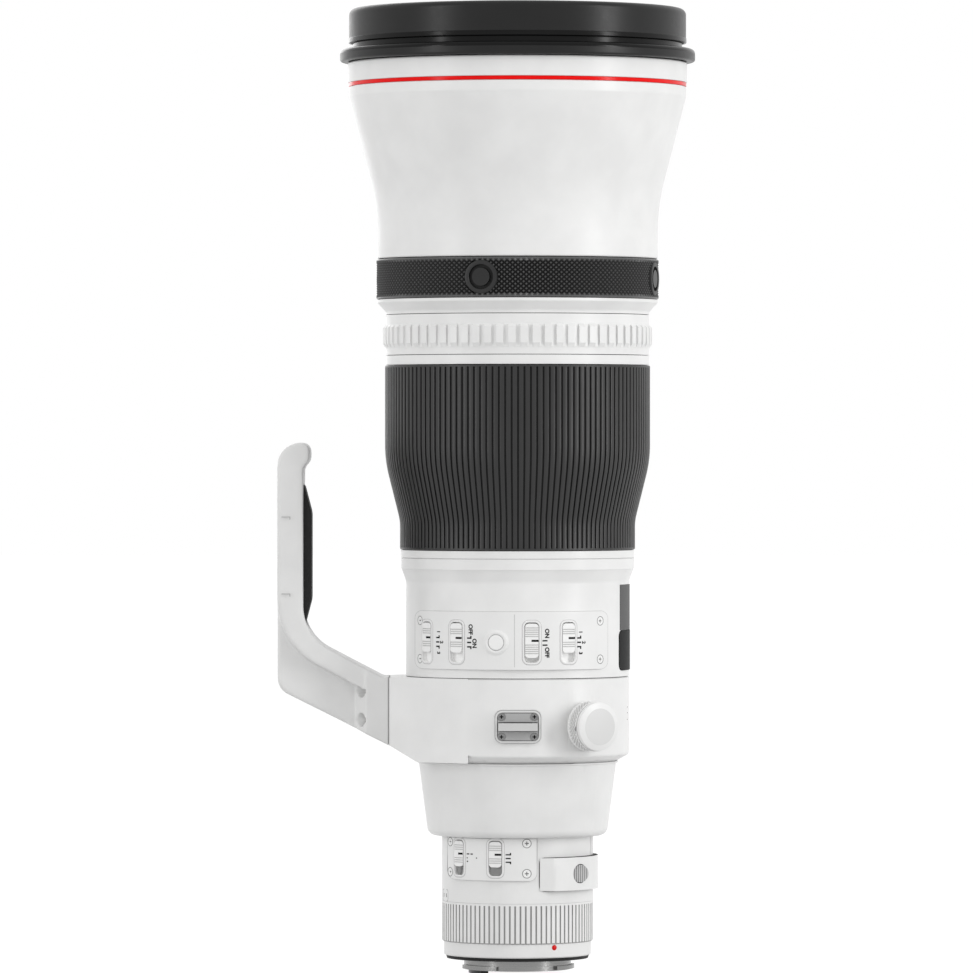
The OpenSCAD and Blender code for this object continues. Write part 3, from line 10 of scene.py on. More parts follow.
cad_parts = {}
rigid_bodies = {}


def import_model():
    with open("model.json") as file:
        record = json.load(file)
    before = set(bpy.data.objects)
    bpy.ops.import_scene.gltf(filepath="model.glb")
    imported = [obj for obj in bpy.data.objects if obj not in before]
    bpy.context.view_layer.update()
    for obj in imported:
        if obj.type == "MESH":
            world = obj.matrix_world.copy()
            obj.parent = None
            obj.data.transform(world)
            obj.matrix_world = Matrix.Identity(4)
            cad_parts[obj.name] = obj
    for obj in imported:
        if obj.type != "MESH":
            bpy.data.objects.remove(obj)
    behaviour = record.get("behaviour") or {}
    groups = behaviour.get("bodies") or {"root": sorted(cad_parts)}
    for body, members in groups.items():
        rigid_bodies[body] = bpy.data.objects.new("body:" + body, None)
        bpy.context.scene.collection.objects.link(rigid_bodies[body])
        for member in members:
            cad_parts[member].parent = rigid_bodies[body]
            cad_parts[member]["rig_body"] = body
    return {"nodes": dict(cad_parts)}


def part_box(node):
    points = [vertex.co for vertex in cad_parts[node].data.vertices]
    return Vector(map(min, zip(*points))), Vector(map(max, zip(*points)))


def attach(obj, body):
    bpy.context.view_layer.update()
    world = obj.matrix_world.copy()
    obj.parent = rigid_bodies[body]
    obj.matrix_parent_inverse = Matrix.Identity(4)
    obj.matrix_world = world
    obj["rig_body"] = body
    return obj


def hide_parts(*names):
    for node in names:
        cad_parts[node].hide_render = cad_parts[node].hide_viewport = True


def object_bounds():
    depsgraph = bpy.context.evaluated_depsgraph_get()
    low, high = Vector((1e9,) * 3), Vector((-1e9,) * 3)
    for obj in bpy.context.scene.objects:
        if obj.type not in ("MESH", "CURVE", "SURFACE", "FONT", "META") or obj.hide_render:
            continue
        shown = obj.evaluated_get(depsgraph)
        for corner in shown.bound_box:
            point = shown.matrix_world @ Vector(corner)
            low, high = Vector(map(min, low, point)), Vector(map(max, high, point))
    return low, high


bl_info = {
    "name": "Super Telephoto Lens",
    "version": (1, 0, 0),
    "blender": (4, 5, 0),
    "location": "View3D > Sidebar > Lens",
    "description": "Builds the finished surfaces of a white super telephoto lens on its CAD frame",
    "category": "Object",
}

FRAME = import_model()
CAD_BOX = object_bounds()
MM = 0.001

# Sizes that repeat the CAD source's values, in millimetres. An azimuth is in degrees from -Y towards +X
MID_R, PANEL_RISE, LOBE_SHIFT = 52.84, 2.06, 1.6
REAR_R, LOW_PANEL_RISE = 35.78, 1.12
SLOT_Z, SLOT_W, SLOT_L = 149.35, 6.9, 18.8
LOW_SLOT_Z, LOW_SLOT_W, LOW_SLOT_L = 47.5, 6.6, 16.6
SLOT_ROUND = 2.0
SLIDER_Z, LONG_SLIDER_Z, LOW_SLIDER_Z = 151.35, 150.2, 49.3
UPPER_SLOTS = {"speed": -52.8, "preset": -32.2, "stabiliser": 6.8, "mode": 26.0}
LOWER_SLOTS = {"focus_mode": -16.7, "range": -48.5}
SET_AZ = -10.8
KNOB_AZ, KNOB_Z, KNOB_BASE, KNOB_R = 35.5, 110.0, 55.89, 11.7
BUTTON_R, BUTTON_Z0, BUTTON_Z1 = 66.85, 310.7, 329.4
BUTTON_INNER_R = 64.3
FN_FIRST, FN_COUNT, FN_Z = -15, 4, 320.05
PANEL_BOX = (-48.3, 42.2, 136.6, 163.7)
LOW_PANEL_BOX = (-33.0, 8.9, 37.0, 60.3)
FLANK_FIRST_AZ, FLANK_LAST_AZ, FLANK_Z, FLANK_H, FLANK_R = 16.6, 163.4, 39.8, 15.6, 38.15
LATCH_AZ, LATCH_TILT, LATCH_R = 39.3, 26.7, 4.2
SCREW_R = 1.9
UPPER_SCREWS = ((-59.2, 159.15), (-59.2, 141.15), (46, 159.15), (46, 141.15))
LOWER_SCREWS = ((-59.5, 54.6), (-59.5, 40.4), (6.6, 54.6), (6.6, 40.4))
LUG_Z, LUG_W, LUG_H, LUG_ROUND, LUG_BAR_W, LUG_BAR_H = 110.0, 21.6, 15.4, 3.5, 18.5, 3.6
LUG_FACE_R = MID_R + 1.5
RIM_Z0, RIM_R = 431.9, 79.85
JOINT_X, JOINT_Z, JOINT_H, BOSS_HALF_W = 60.7, 116.1, 32.2, 19.0
SOCKET_Z = (172.1, 194.1)
GRIP_LOW_R, GRIP_HIGH_R, GRIP_WALL, GRIP_MARGIN = 55.68, 62.79, 1.7, 0.9
GRIP_TAPER = (13.6, 42.1)

# Places and sizes of the printed marks, in the same units
TICK_PITCH, TICK_W, TICK_T = 2.05, 2.3, 0.68
LOW_TICK_PITCH, LOW_TICK_W, LOW_TICK_T = 1.75, 2.6, 0.6
NUMBER_H, WORD_H = 1.85, 2.0
CREASE_AZ = -1.7
INDEX_AZ, INDEX_Z, INDEX_R = 29.6, 5.3, 34.75
SECURITY_AZ, SECURITY_Z = -73, 28.9
COLLAR_MARKS_AZ, COLLAR_MARKS_Z = 79, 114.9
FOOT_NOTCH_ZS = (207.7, 171.4)


def length(name, text, value):
    return FloatProperty(name=name, description=text, default=value, unit="LENGTH")


def count(name, text, value, low, high):
    return IntProperty(name=name, description=text, default=value, min=low, max=high)


def tint(name, text, value):
    return FloatVectorProperty(name=name, description=text, subtype="COLOR", default=value)


class LensSizes(bpy.types.PropertyGroup):
    grip_ribs: count("Grip ribs", "Ribs round the focus grip", 132, 60, 200)
    rib_gap: length("Rib gap", "Width of the gap between two ribs", 0.00085)
    rib_depth: length("Rib depth", "Depth of the gaps", 0.0007)
    ring_diamonds: count("Ring diamonds", "Knurl diamonds round the button ring", 162, 100, 300)
    knob_diamonds: count("Knob diamonds", "Knurl diamonds round the lock knob", 40, 20, 60)
    knurl_depth: length("Knurl depth", "Height of the knurl's points", 0.0007)
    edge_round: length("Edge rounding", "Bevel on the barrels' painted edges", 0.0003)
    foot_melt: count("Foot melting", "Passes that melt the foot's edges", 24, 0, 60)
    lip_width: length("Slot lip", "Width of the raised lip round a slot", 0.001)
    lip_height: length("Lip height", "Height of the slot lips", 0.0003)


class LensColours(bpy.types.PropertyGroup):
    paint: tint("Paint", "White heat-shielding paint", (0.79, 0.79, 0.785))
    black: tint("Black", "Satin black metal", (0.012, 0.012, 0.012))
    rubber: tint("Rubber", "Grip rubber", (0.013, 0.013, 0.013))
    stripe: tint("Stripe", "Thin accent ring", (0.8, 0.0, 0.0))
    ink: tint("Ink", "Printed marks", (0.004, 0.004, 0.004))
    ink_grey: tint("Grey ink", "Printed numbers", (0.008, 0.008, 0.008))


def sizes():
    return bpy.context.scene.lens_sizes


def colours():
    return bpy.context.scene.lens_colours


# Materials

def new_surface(name, colour, roughness, metallic=0.0, coat=0.0, specular=0.5):
    """A principled material and its node tree, with the plain values on the shader's own sockets."""
    mat = bpy.data.materials.new(name)
    mat.use_nodes = True
    shader = mat.node_tree.nodes["Principled BSDF"]
    shader.inputs["Base Color"].default_value = (*colour, 1)
    shader.inputs["Roughness"].default_value = roughness
    shader.inputs["Metallic"].default_value = metallic
    shader.inputs["Coat Weight"].default_value = coat
    shader.inputs["Specular IOR Level"].default_value = specular
    return mat, shader


def noise_of(mat, scale, detail=3.0, stretch=(1, 1, 1), kind="ShaderNodeTexNoise"):
    """A noise in Object coordinates, stretched along the axes."""
    tree = mat.node_tree
    coords = tree.nodes.new("ShaderNodeTexCoord")
    mapping = tree.nodes.new("ShaderNodeMapping")
    mapping.inputs["Scale"].default_value = stretch
    tree.links.new(coords.outputs["Object"], mapping.inputs["Vector"])
    noise = tree.nodes.new(kind)
    noise.inputs["Scale"].default_value = scale
    if "Detail" in noise.inputs:
        noise.inputs["Detail"].default_value = detail
    tree.links.new(mapping.outputs["Vector"], noise.inputs["Vector"])
    return noise.outputs["Distance"] if kind == "ShaderNodeTexVoronoi" else noise.outputs["Fac"]


def vary_colour(mat, shader, source, dark, light, low=0.35, high=0.65):
    """Base colour that drifts between two tones of the same finish."""
    ramp = mat.node_tree.nodes.new("ShaderNodeValToRGB")
    for stop, position, colour in zip(ramp.color_ramp.elements, (low, high), (dark, light)):
        stop.position = position
        stop.color = (*colour, 1)
    mat.node_tree.links.new(source, ramp.inputs["Fac"])
    mat.node_tree.links.new(ramp.outputs["Color"], shader.inputs["Base Color"])


def vary_roughness(mat, shader, source, low, high):
    span = mat.node_tree.nodes.new("ShaderNodeMapRange")
    span.inputs["To Min"].default_value = low
    span.inputs["To Max"].default_value = high
    mat.node_tree.links.new(source, span.inputs["Value"])
    mat.node_tree.links.new(span.outputs["Result"], shader.inputs["Roughness"])


def add_bump(mat, shader, source, distance):
    bump = mat.node_tree.nodes.new("ShaderNodeBump")
    bump.inputs["Distance"].default_value = distance
    bump.inputs["Strength"].default_value = 1.0
    mat.node_tree.links.new(source, bump.inputs["Height"])
    mat.node_tree.links.new(bump.outputs["Normal"], shader.inputs["Normal"])


def scaled(colour, factor):
    return tuple(min(1.0, c * factor) for c in colour)


def painted(name, colour, roughness, grain=3200, depth=0.00001, drift=0.035, specular=0.5):
    """Sprayed finish with a fine grain, a slow drift of tone and uneven gloss."""
    mat, shader = new_surface(name, colour, roughness, specular=specular)
    vary_colour(mat, shader, noise_of(mat, 55, 4), scaled(colour, 1 - drift), scaled(colour, 1 + drift / 2))
    vary_roughness(mat, shader, noise_of(mat, 400, 4), roughness - 0.05, roughness + 0.07)
    add_bump(mat, shader, noise_of(mat, grain, 2), depth)
    return mat


def knurl_paint(name, colour, roughness, specular, share):
    """Finish of a knurl with painted shade: its tone falls to a share of itself in the valleys, which the mesh's
    float attribute marks with 1.
    """
    mat, shader = new_surface(name, colour, roughness, specular=specular)
    layer = mat.node_tree.nodes.new("ShaderNodeAttribute")
    layer.attribute_name = "cavity_shade"
    vary_colour(mat, shader, layer.outputs["Fac"], colour, scaled(colour, share), 0.1, 0.7)
    vary_roughness(mat, shader, noise_of(mat, 900, 3), roughness - 0.05, roughness + 0.1)
    add_bump(mat, shader, noise_of(mat, 3400, 2), 0.000006)
    return mat


def turned_metal(name, colour, roughness):
    """Metal with fine lathe marks round the optical axis."""
    mat, shader = new_surface(name, colour, roughness, metallic=1.0)
    lines = noise_of(mat, 900, 5, (0.05, 0.05, 12))
    vary_colour(mat, shader, lines, scaled(colour, 0.85), scaled(colour, 1.08))
    vary_roughness(mat, shader, lines, roughness - 0.08, roughness + 0.12)
    add_bump(mat, shader, lines, 0.000006)
    return mat


def rubber(name, colour, roughness, cell, depth, specular=0.25):
    """Rubber with a pebbled skin and a dusty bloom."""
    mat, shader = new_surface(name, colour, roughness, specular=specular)
    vary_colour(mat, shader, noise_of(mat, 90, 5), scaled(colour, 0.9), scaled(colour, 1.12))
    vary_roughness(mat, shader, noise_of(mat, 600, 3), roughness - 0.05, roughness + 0.08)
    add_bump(mat, shader, noise_of(mat, cell, kind="ShaderNodeTexVoronoi"), depth)
    return mat


def clear(name, colour, roughness, ior, coat_tint):
    mat, shader = new_surface(name, colour, roughness, coat=0.6)
    shader.inputs["Transmission Weight"].default_value = 1.0
    shader.inputs["IOR"].default_value = ior
    shader.inputs["Coat Tint"].default_value = (*coat_tint, 1)
    vary_roughness(mat, shader, noise_of(mat, 40, 2), roughness, roughness + 0.015)
    return mat


MATS = {}


def make_materials():
    c = colours()
    MATS.update(
        paint=painted("white_paint", c.paint, 0.36),
        # A darker copy of the white paint for the lower barrels, rings and filter holder: painted shade
        paint_low=painted("white_paint_shaded_lower", scaled(c.paint, 0.97), 0.36),
        moulded=painted("white_moulding", c.paint, 0.42, 5200, 0.000006, 0.02),
        slider=painted("slider_moulding", scaled(c.paint, 1.08), 0.34, 5200, 0.000004, 0.02),
        # The knob's white knurl falls to 0.74 of its tone in the valleys: painted shade
        knob_knurl=knurl_paint("knob_knurl_white", c.paint, 0.4, 0.5, 0.74),
        knob_face=painted("knob_face_white", scaled(c.paint, 0.84), 0.42, 4200, 0.000006, 0.02),
        rib_shade=painted("slider_rib_shade", scaled(c.paint, 0.72), 0.5, 5200, 0.000004, 0.02),
        groove_shade=painted("groove_shade", scaled(c.paint, 0.5), 0.6, 4200, 0.000006, 0.03),
        # Dark grey for the knob's index notch, and painted shade in gaps, recesses and openings: round the set button
        # and the screws, in the screws' recesses, on the knob's neck and in the security slot
        seam=painted("seam_grey", scaled(c.paint, 0.28), 0.7, 4200, 0.000004, 0.05),
        # Thin grey lines of painted shade outside the slot lips, on the crease between the panel's lobes and round
        # the panels
        fine_line=painted("fine_line_grey", scaled(c.paint, 0.68), 0.6, 4200, 0.000004, 0.03),
        # A darker copy of the white paint for the foot: painted shade
        foot=painted("foot_paint_shaded", scaled(c.paint, 0.91), 0.38),
        # A lighter copy of the white for the walls and floors of the slots: painted light against their shade
        slot_white=painted("slot_white", scaled(c.paint, 1.22), 0.5, 4200, 0.000006, 0.03),
        black=painted("satin_black", scaled(c.black, 0.8), 0.33, 2600, 0.000008, 0.1, 0.25),
        gloss=painted("gloss_black", scaled(c.black, 0.35), 0.2, 5200, 0.000002, 0.1, 0.14),
        # The black knurl is painted seven times lighter on its points, a painted highlight, and near black in its
        # valleys, painted shade
        knurl=knurl_paint("knurled_black_painted_light", scaled(c.black, 7), 0.3, 0.35, 0.02),
        button=painted("button_black", scaled(c.black, 1.6), 0.33, 5200, 0.000004, 0.1, 0.25),
        bezel=painted("bezel_grey", scaled(c.black, 2.0), 0.36, 5200, 0.000004, 0.1, 0.25),
        inside=painted("inner_matt_black", (0.008, 0.008, 0.008), 0.75, 1500, 0.00002, 0.1),
        grip=rubber("ribbed_rubber", scaled(c.rubber, 0.8), 0.4, 2400, 0.0000012, 0.5),
        pad=rubber("pad_rubber", scaled(c.rubber, 1.2), 0.7, 900, 0.00006),
        # Real rubber for the mount's seal, and painted shade in the grip's gaps, in the bezels' grooves and round the
        # filter holder's flank
        seal=rubber("seal_rubber_and_gap_shade", (0.006, 0.006, 0.006), 0.6, 2400, 0.00001),
        stripe=painted("accent_red", c.stripe, 0.2, 5200, 0.000003, 0.05, 0.14),
        dot=painted("index_red", scaled(c.stripe, 0.8), 0.25, 5200, 0.000003, 0.05, 0.2),
        plate=painted("side_plate_grey", (0.12, 0.12, 0.12), 0.55, 2600, 0.000008, 0.06, 0.1),
        # Painted shade on the floors between the latch buttons' ribs
        latch_floor=painted("latch_floor_grey", (0.3, 0.3, 0.3), 0.45, 2600, 0.000008, 0.06),
        latch=painted("latch_grey", (0.55, 0.55, 0.55), 0.38, 2600, 0.000008, 0.06),
        window=painted("window_dark", (0.02, 0.0205, 0.0205), 0.5, 5200, 0.000001, 0.05, 0.05),
        steel=turned_metal("turned_steel", (0.26, 0.26, 0.257), 0.24),
        chrome=turned_metal("bright_screws", (0.5, 0.5, 0.49), 0.28),
        screw=turned_metal("dark_screws", (0.24, 0.24, 0.24), 0.32),
        lug=painted("lug_grey", (0.4, 0.4, 0.4), 0.38, 2600, 0.000008, 0.05),
        # A lighter grey on the lugs' bevelled rims: painted highlight
        lug_edge=painted("lug_rim_painted_highlight", (0.66, 0.66, 0.655), 0.3, 2600, 0.000006, 0.03),
        lug_bar=painted("lug_bar_silver", (0.58, 0.58, 0.575), 0.3, 2600, 0.000006, 0.03),
        aluminium=turned_metal("turned_aluminium", (0.3, 0.3, 0.31), 0.4),
        brass=turned_metal("turned_brass", (0.55, 0.38, 0.15), 0.32),
        board=painted("board_green", (0.02, 0.1, 0.04), 0.45, 2600, 0.00001, 0.2),
        glass=clear("coated_glass", (0.93, 0.97, 0.96), 0.01, 1.5, (0.5, 0.8, 0.6)),
        ink=painted("print_and_recess_shade_black", c.ink, 0.6, 4200, 0.000003, 0.1, 0.1),
        ink_grey=painted("printed_grey", c.ink_grey, 0.6, 4200, 0.000003, 0.1, 0.1),
    )


# Shapes

def node_body(node):
    return FRAME["nodes"][node]["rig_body"]


def turned_by(degrees, axis):
    return Matrix.Rotation(math.radians(degrees), 4, axis)


def shift(x, y, z):
    """A move in millimetres."""
    return Matrix.Translation(Vector((x, y, z)) * MM)


def placed(bm, matrix):
    bmesh.ops.transform(bm, matrix=matrix, verts=bm.verts)
    return bm


def outwards(az):
    """The level direction away from the axis at an azimuth."""
    a = math.radians(az)
    return Vector((math.sin(a), -math.cos(a), 0))


def wall_point(az, z, r):
    """The point at an azimuth, a height and a radius in millimetres."""
    a = math.radians(az)
    return Vector((r * math.sin(a), -r * math.cos(a), z)) * MM


def wall_frame(az, z):
    """The frame whose x runs round the barrel, y up and z outwards from the axis."""
    return turned_by(az, "Z") @ shift(0, 0, z) @ turned_by(90, "X")


def panel_surface(az):
    """Radius of the upper panel's two lobes at an azimuth, in millimetres."""
    a = math.radians(az)
    lobe = MID_R + PANEL_RISE
    return math.sqrt(lobe ** 2 - (LOBE_SHIFT * math.cos(a)) ** 2) - LOBE_SHIFT * abs(math.sin(a))


def low_surface(az):
    return REAR_R + LOW_PANEL_RISE


def low_wall(az):
    return REAR_R


def wrap(bm, az, z, surface):
    """Bends flat geometry, x across and y up in metres, onto the barrel, with its z as the height above it."""
    for v in bm.verts:
        turn = az + math.degrees(v.co.x / MM / surface(az))
        v.co = wall_point(turn, z + v.co.y / MM, surface(turn) + v.co.z / MM)


def drape(bm, centre_x, centre_z, radius):
    """Projects flat geometry, x across and y up in metres, along Y onto a barrel in front of the axis."""
    for v in bm.verts:
        x, r = v.co.x + centre_x * MM, radius * MM + v.co.z
        v.co = (x, -math.sqrt(r * r - x * x), centre_z * MM + v.co.y)


def linked(name, data):
    """A new object in the scene."""
    obj = bpy.data.objects.new(name, data)
    bpy.context.scene.collection.objects.link(obj)
    return obj


def mesh_of(name, bm):
    """The bmesh as a mesh, which frees it."""
    mesh = bpy.data.meshes.new(name)
    bm.to_mesh(mesh)
    bm.free()
    return mesh


def evaluated(obj):
    """The mesh that a helper object shows, as a bmesh. The helper is removed."""
    bpy.context.view_layer.update()
    mesh = bpy.data.meshes.new_from_object(obj.evaluated_get(bpy.context.evaluated_depsgraph_get()))
    bpy.data.objects.remove(obj)
    bm = bmesh.new()
    bm.from_mesh(mesh)
    bpy.data.meshes.remove(mesh)
    return bm


def finish(name, bm, mats, body, sharp=35, weighted=False, replaces=()):
    """Makes the mesh an object at the origin that rides on its body. mats holds the materials' keys."""
    mesh = mesh_of(name, bm)
    obj = linked(name, mesh)
    for key in mats.split():
        mesh.materials.append(MATS[key])
    mesh.shade_smooth()
    mesh.set_sharp_from_angle(angle=math.radians(sharp))
    if weighted:
        obj.modifiers.new("weighted", "WEIGHTED_NORMAL").keep_sharp = True
    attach(obj, body)
    if replaces:
        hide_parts(*replaces)


def stand_in(node, bm, mats, sharp=40, weighted=True, ending="shell"):
    """Makes the mesh the finished form of a CAD node."""
    finish(f"{node}_{ending}", bm, mats, node_body(node), sharp, weighted, (node,))


def merged(node):
    """The node's mesh with its loose triangles joined and its flat faces made whole."""
    bm = bmesh.new()
    bm.from_mesh(FRAME["nodes"][node].data)
    bmesh.ops.remove_doubles(bm, verts=bm.verts, dist=2e-6)
    bmesh.ops.dissolve_limit(bm, angle_limit=math.radians(0.4), verts=bm.verts, edges=bm.edges,
        use_dissolve_boundaries=False)
    return bm


def soften(bm, width, least=32, segments=2, choose=None):
    """Bevels the outer edges that turn by more than the least angle."""
    def meant(e):
        hard = len(e.link_faces) == 2 and e.is_convex and math.degrees(e.calc_face_angle(0)) > least
        return hard and (choose is None or choose(e))

    edges = [e for e in bm.edges if meant(e)]
    if edges:
        bmesh.ops.bevel(bm, geom=edges, offset=width, offset_type="OFFSET", segments=segments, profile=0.5,
            affect="EDGES", clamp_overlap=True, material=-1)


def pick_faces(bm, pick):
    """Gives each face the number of its material from its centre in millimetres and its normal."""
    for f in bm.faces:
        f.material_index = int(pick(f.calc_center_median() / MM, f.normal))


def softened(node, mats, width=None, least=32, choose=None, inner=None):
    """A merged copy of a CAD node with broken edges, which stands for the node."""
    bm = merged(node)
    soften(bm, width or sizes().edge_round, least, choose=choose)
    if inner:
        pick_faces(bm, inner)
    stand_in(node, bm, mats)


def ribbed(node, way, mats, width, depth, rest):
    """A softened piece with the second material, painted shade, on the floors between its ribs, from depth to rest
    under its top.
    """
    top = max(v.co.dot(way) for v in FRAME["nodes"][node].data.vertices) / MM
    softened(node, mats, width, 40, inner=lambda c, n: n.dot(way) > 0.9 and top - depth < c.dot(way) < top - rest)


def cast(node, mats, voxel, rounds, keep):
    """A copy of a CAD node with its edges melted as a casting's are, apart from the vertices that keep picks."""
    obj = linked("casting", mesh_of("casting", merged(node)))
    shell = obj.modifiers.new("shell", "REMESH")
    shell.mode, shell.voxel_size = "VOXEL", voxel
    bm = evaluated(obj)
    loose = [v for v in bm.verts if not keep(v.co / MM)]
    for _ in range(rounds):
        bmesh.ops.smooth_vert(bm, verts=loose, factor=0.5, use_axis_x=True, use_axis_y=True, use_axis_z=True)
    low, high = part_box(node)
    for v in bm.verts:
        v.co = Vector(min(max(c, lo), hi) for c, lo, hi in zip(v.co, low, high))
    stand_in(node, bm, mats, 60, False)


def rounded_path(points, steps=8):
    """Points of a half outline in millimetres, each (radius, height, fillet)."""
    out = []
    for i, (x, y, r) in enumerate(points):
        if not r:
            out.append(Vector((x, y)))
            continue
        b = Vector((x, y))
        u = (Vector(points[i - 1][:2]) - b).normalized()
        v = (Vector(points[i + 1][:2]) - b).normalized()
        half = u.angle(v) / 2
        middle = b + (u + v).normalized() * r / math.sin(half)
        p, q = b + u * r / math.tan(half) - middle, b + v * r / math.tan(half) - middle
        sweep = p.angle_signed(q)
        out += [middle + Matrix.Rotation(-sweep * k / steps, 2) @ p for k in range(steps + 1)]
    return out


def wire(bm, points):
    """Joins points with edges."""
    verts = [bm.verts.new(p) for p in points]
    for a, b in zip(verts, verts[1:]):
        bm.edges.new((a, b))


def spin(bm, angle, steps, **more):
    """Turns all that the mesh holds round the axis."""
    geom = bm.verts[:] + bm.edges[:] + bm.faces[:]
    bmesh.ops.spin(bm, geom=geom, cent=(0, 0, 0), axis=(0, 0, 1), angle=angle, steps=steps, **more)


def spun(points, steps=256, closed=True):
    """Turns a half outline of (radius, height) in millimetres round the axis."""
    bm = bmesh.new()
    line = [Vector((p[0], 0, p[1])) * MM for p in points]
    wire(bm, line + ([line[0]] if closed else []))
    spin(bm, 2 * math.pi, steps, use_merge=True)
    bmesh.ops.remove_doubles(bm, verts=bm.verts, dist=1e-7)
    bmesh.ops.recalc_face_normals(bm, faces=bm.faces)
    return bm


def knurled(bm, radius, z0, z1, pitch_z, columns, depth):
    """Raises every second vertex of a finely spun wall and splits its faces into diamonds."""
    cavity_shade = bm.verts.layers.float.new("cavity_shade")
    near = 0.01
    chosen = {}
    for v in bm.verts:
        z = v.co.z / MM
        if not (z0 - near < z < z1 + near and abs(v.co.xy.length / MM - radius) < near):
            continue
        column = round(math.atan2(v.co.y, v.co.x) / (2 * math.pi) * columns) % columns
        row = round((z - z0) / pitch_z)
        chosen[v] = (column + row) % 2
        if z0 + near < z < z1 - near and not chosen[v]:
            v.co.xy *= 1 - depth / (radius * MM)
            # The lowered vertex is marked for the painted shade in the knurl's valleys
            v[cavity_shade] = 1
    for f in [f for f in bm.faces if len(f.verts) == 4 and all(v in chosen for v in f.verts)]:
        low = [v for v in f.verts if not chosen[v]]
        if len(low) == 2:
            bmesh.utils.face_split(f, low[0], low[1])


def outline_points(w, l, r, steps=5):
    """Corner arcs of a rounded rectangle in metres, w wide and l high."""
    out = []
    for cx, cy, start in ((1, 1, 0), (-1, 1, 90), (-1, -1, 180), (1, -1, 270)):
        for k in range(steps + 1):
            a = math.radians(start + 90 * k / steps)
            out.append(Vector((cx * (w / 2 - r) + r * math.cos(a), cy * (l / 2 - r) + r * math.sin(a))))
    return out


def outline_ring(w, l, r, profile):
    """A ring round a rounded rectangle, from (offset, height) pairs in metres that go round its section.
    A wide ring is cut across every 2.5 mm, so that it can bend onto a barrel."""
    bm = bmesh.new()
    loops = []
    for offset, height in profile:
        points = outline_points(w + 2 * offset, l + 2 * offset, max(r + offset, 1e-5))
        verts = [bm.verts.new((p.x, p.y, height)) for p in points]
        loops.append([bm.edges.new((a, b)) for a, b in zip(verts, verts[1:] + verts[:1])])
    for a, b in zip(loops, loops[1:] + loops[:1]):
        bmesh.ops.bridge_loops(bm, edges=a + b)
    bmesh.ops.recalc_face_normals(bm, faces=bm.faces)
    cuts = int(w / (2.5 * MM)) if w > 0.01 else 0
    for k in range(1, cuts):
        bmesh.ops.bisect_plane(bm, geom=bm.verts[:] + bm.edges[:] + bm.faces[:],
            plane_co=(-w / 2 + w * k / cuts, 0, 0), plane_no=(1, 0, 0))
    return bm


def line_profile(width, height=0.00004, sink=0.0004):
    """Section of a flat line that lies outside an outline."""
    return [(0, -sink), (0, height), (width, height), (width, -sink)]


def stud_ring(name, r0, r1, az, z, top, mats):
    """A flat ring round a round piece, with its top at a distance from the axis."""
    bm = spun([(r0, top - 0.5), (r0, top), (r1, top), (r1, top - 0.5)], 48)
    finish(name, placed(bm, wall_frame(az, z)), mats, "lens_body", 40)


def bar(bm, x0, x1, y0, y1, height=0.00004, sink=0.00006):
    """Adds a thin printed bar to a flat mesh, in millimetres across and up."""
    made = bmesh.ops.create_cube(bm, size=1)["verts"]
    bmesh.ops.scale(bm, vec=((x1 - x0) * MM, (y1 - y0) * MM, height + sink), verts=made)
    bmesh.ops.translate(bm, vec=((x0 + x1) / 2 * MM, (y0 + y1) / 2 * MM, (height - sink) / 2), verts=made)


def bars(*places):
    """A flat mesh of bars, each given by its left, right, lower and upper edge, and by a height if it has its own."""
    bm = bmesh.new()
    for place in places:
        bar(bm, *place)
    return bm


def words(text, height):
    """Letters as a thin flat mesh centred on the origin, which read downwards, in millimetres of cap height."""
    curve = bpy.data.curves.new("letters", "FONT")
    curve.body = text
    curve.size = height * MM / 0.72
    curve.extrude = 0.00005
    curve.offset = height * MM * 0.055
    curve.align_x, curve.align_y = "CENTER", "CENTER"
    bm = evaluated(linked("letters", curve))
    bpy.data.curves.remove(curve)
    bmesh.ops.remove_doubles(bm, verts=bm.verts, dist=1e-7)
    return placed(bm, turned_by(-90, "Z"))


def printed(name, bm, az, z, surface, mats="ink", body="lens_body", slot="black_plastic"):
    wrap(bm, az, z, surface)
    finish(name, bm, mats, body, 60)


def dress(key, *nodes):
    """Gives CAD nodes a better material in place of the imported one."""
    for n in nodes:
        mesh = FRAME["nodes"][n].data
        mesh.materials.clear()
        mesh.materials.append(MATS[key])


# Operators

class LensStep(bpy.types.Operator):
    bl_options = {"REGISTER", "UNDO"}

    def execute(self, context):
        self.build()
        return {"FINISHED"}


class LENS_OT_inner_parts(LensStep):
    """Gives the parts inside the barrel, and those whose CAD shape is final, their finishes"""
    bl_idname = "lens.inner_parts"
    bl_label = "Inner parts"

    def build(self):
        dress("inside", "main_tube", "focus_sleeve", "diaphragm_housing", "stabiliser_frame", "guide_tube",
            "scale_drum", "stabiliser_carrier")
        dress("aluminium", "cam_ring", "diaphragm_ring")
        dress("brass", "collar_bush", "motor_stator")
        dress("board", "main_board")
        dress("stripe", "accent_ring")
        dress("seal", "mount_seal")
        dress("chrome", "bayonet_screws", "foot_screws")
        dress("button", *(f"function_button_{i + 1}" for i in range(FN_COUNT)))


def cell(node, is_metal):
    bm = merged(node)
    pick_faces(bm, is_metal)
    stand_in(node, bm, "glass inside", 30, False, "finished")


class LENS_OT_glass(LensStep):
    """Finishes the lens elements and the cells that hold them"""
    bl_idname = "lens.glass"
    bl_label = "Glass"

    def build(self):
        dress("glass", "front_element", "rear_elements", "filter_glass")
        cell("middle_elements", lambda c, n: 289.6 < c.z < 295.4)
        cell("focus_cell", lambda c, n: c.xy.length >= 34.3)
        cell("stabiliser_cell", lambda c, n: c.xy.length >= 24.1)


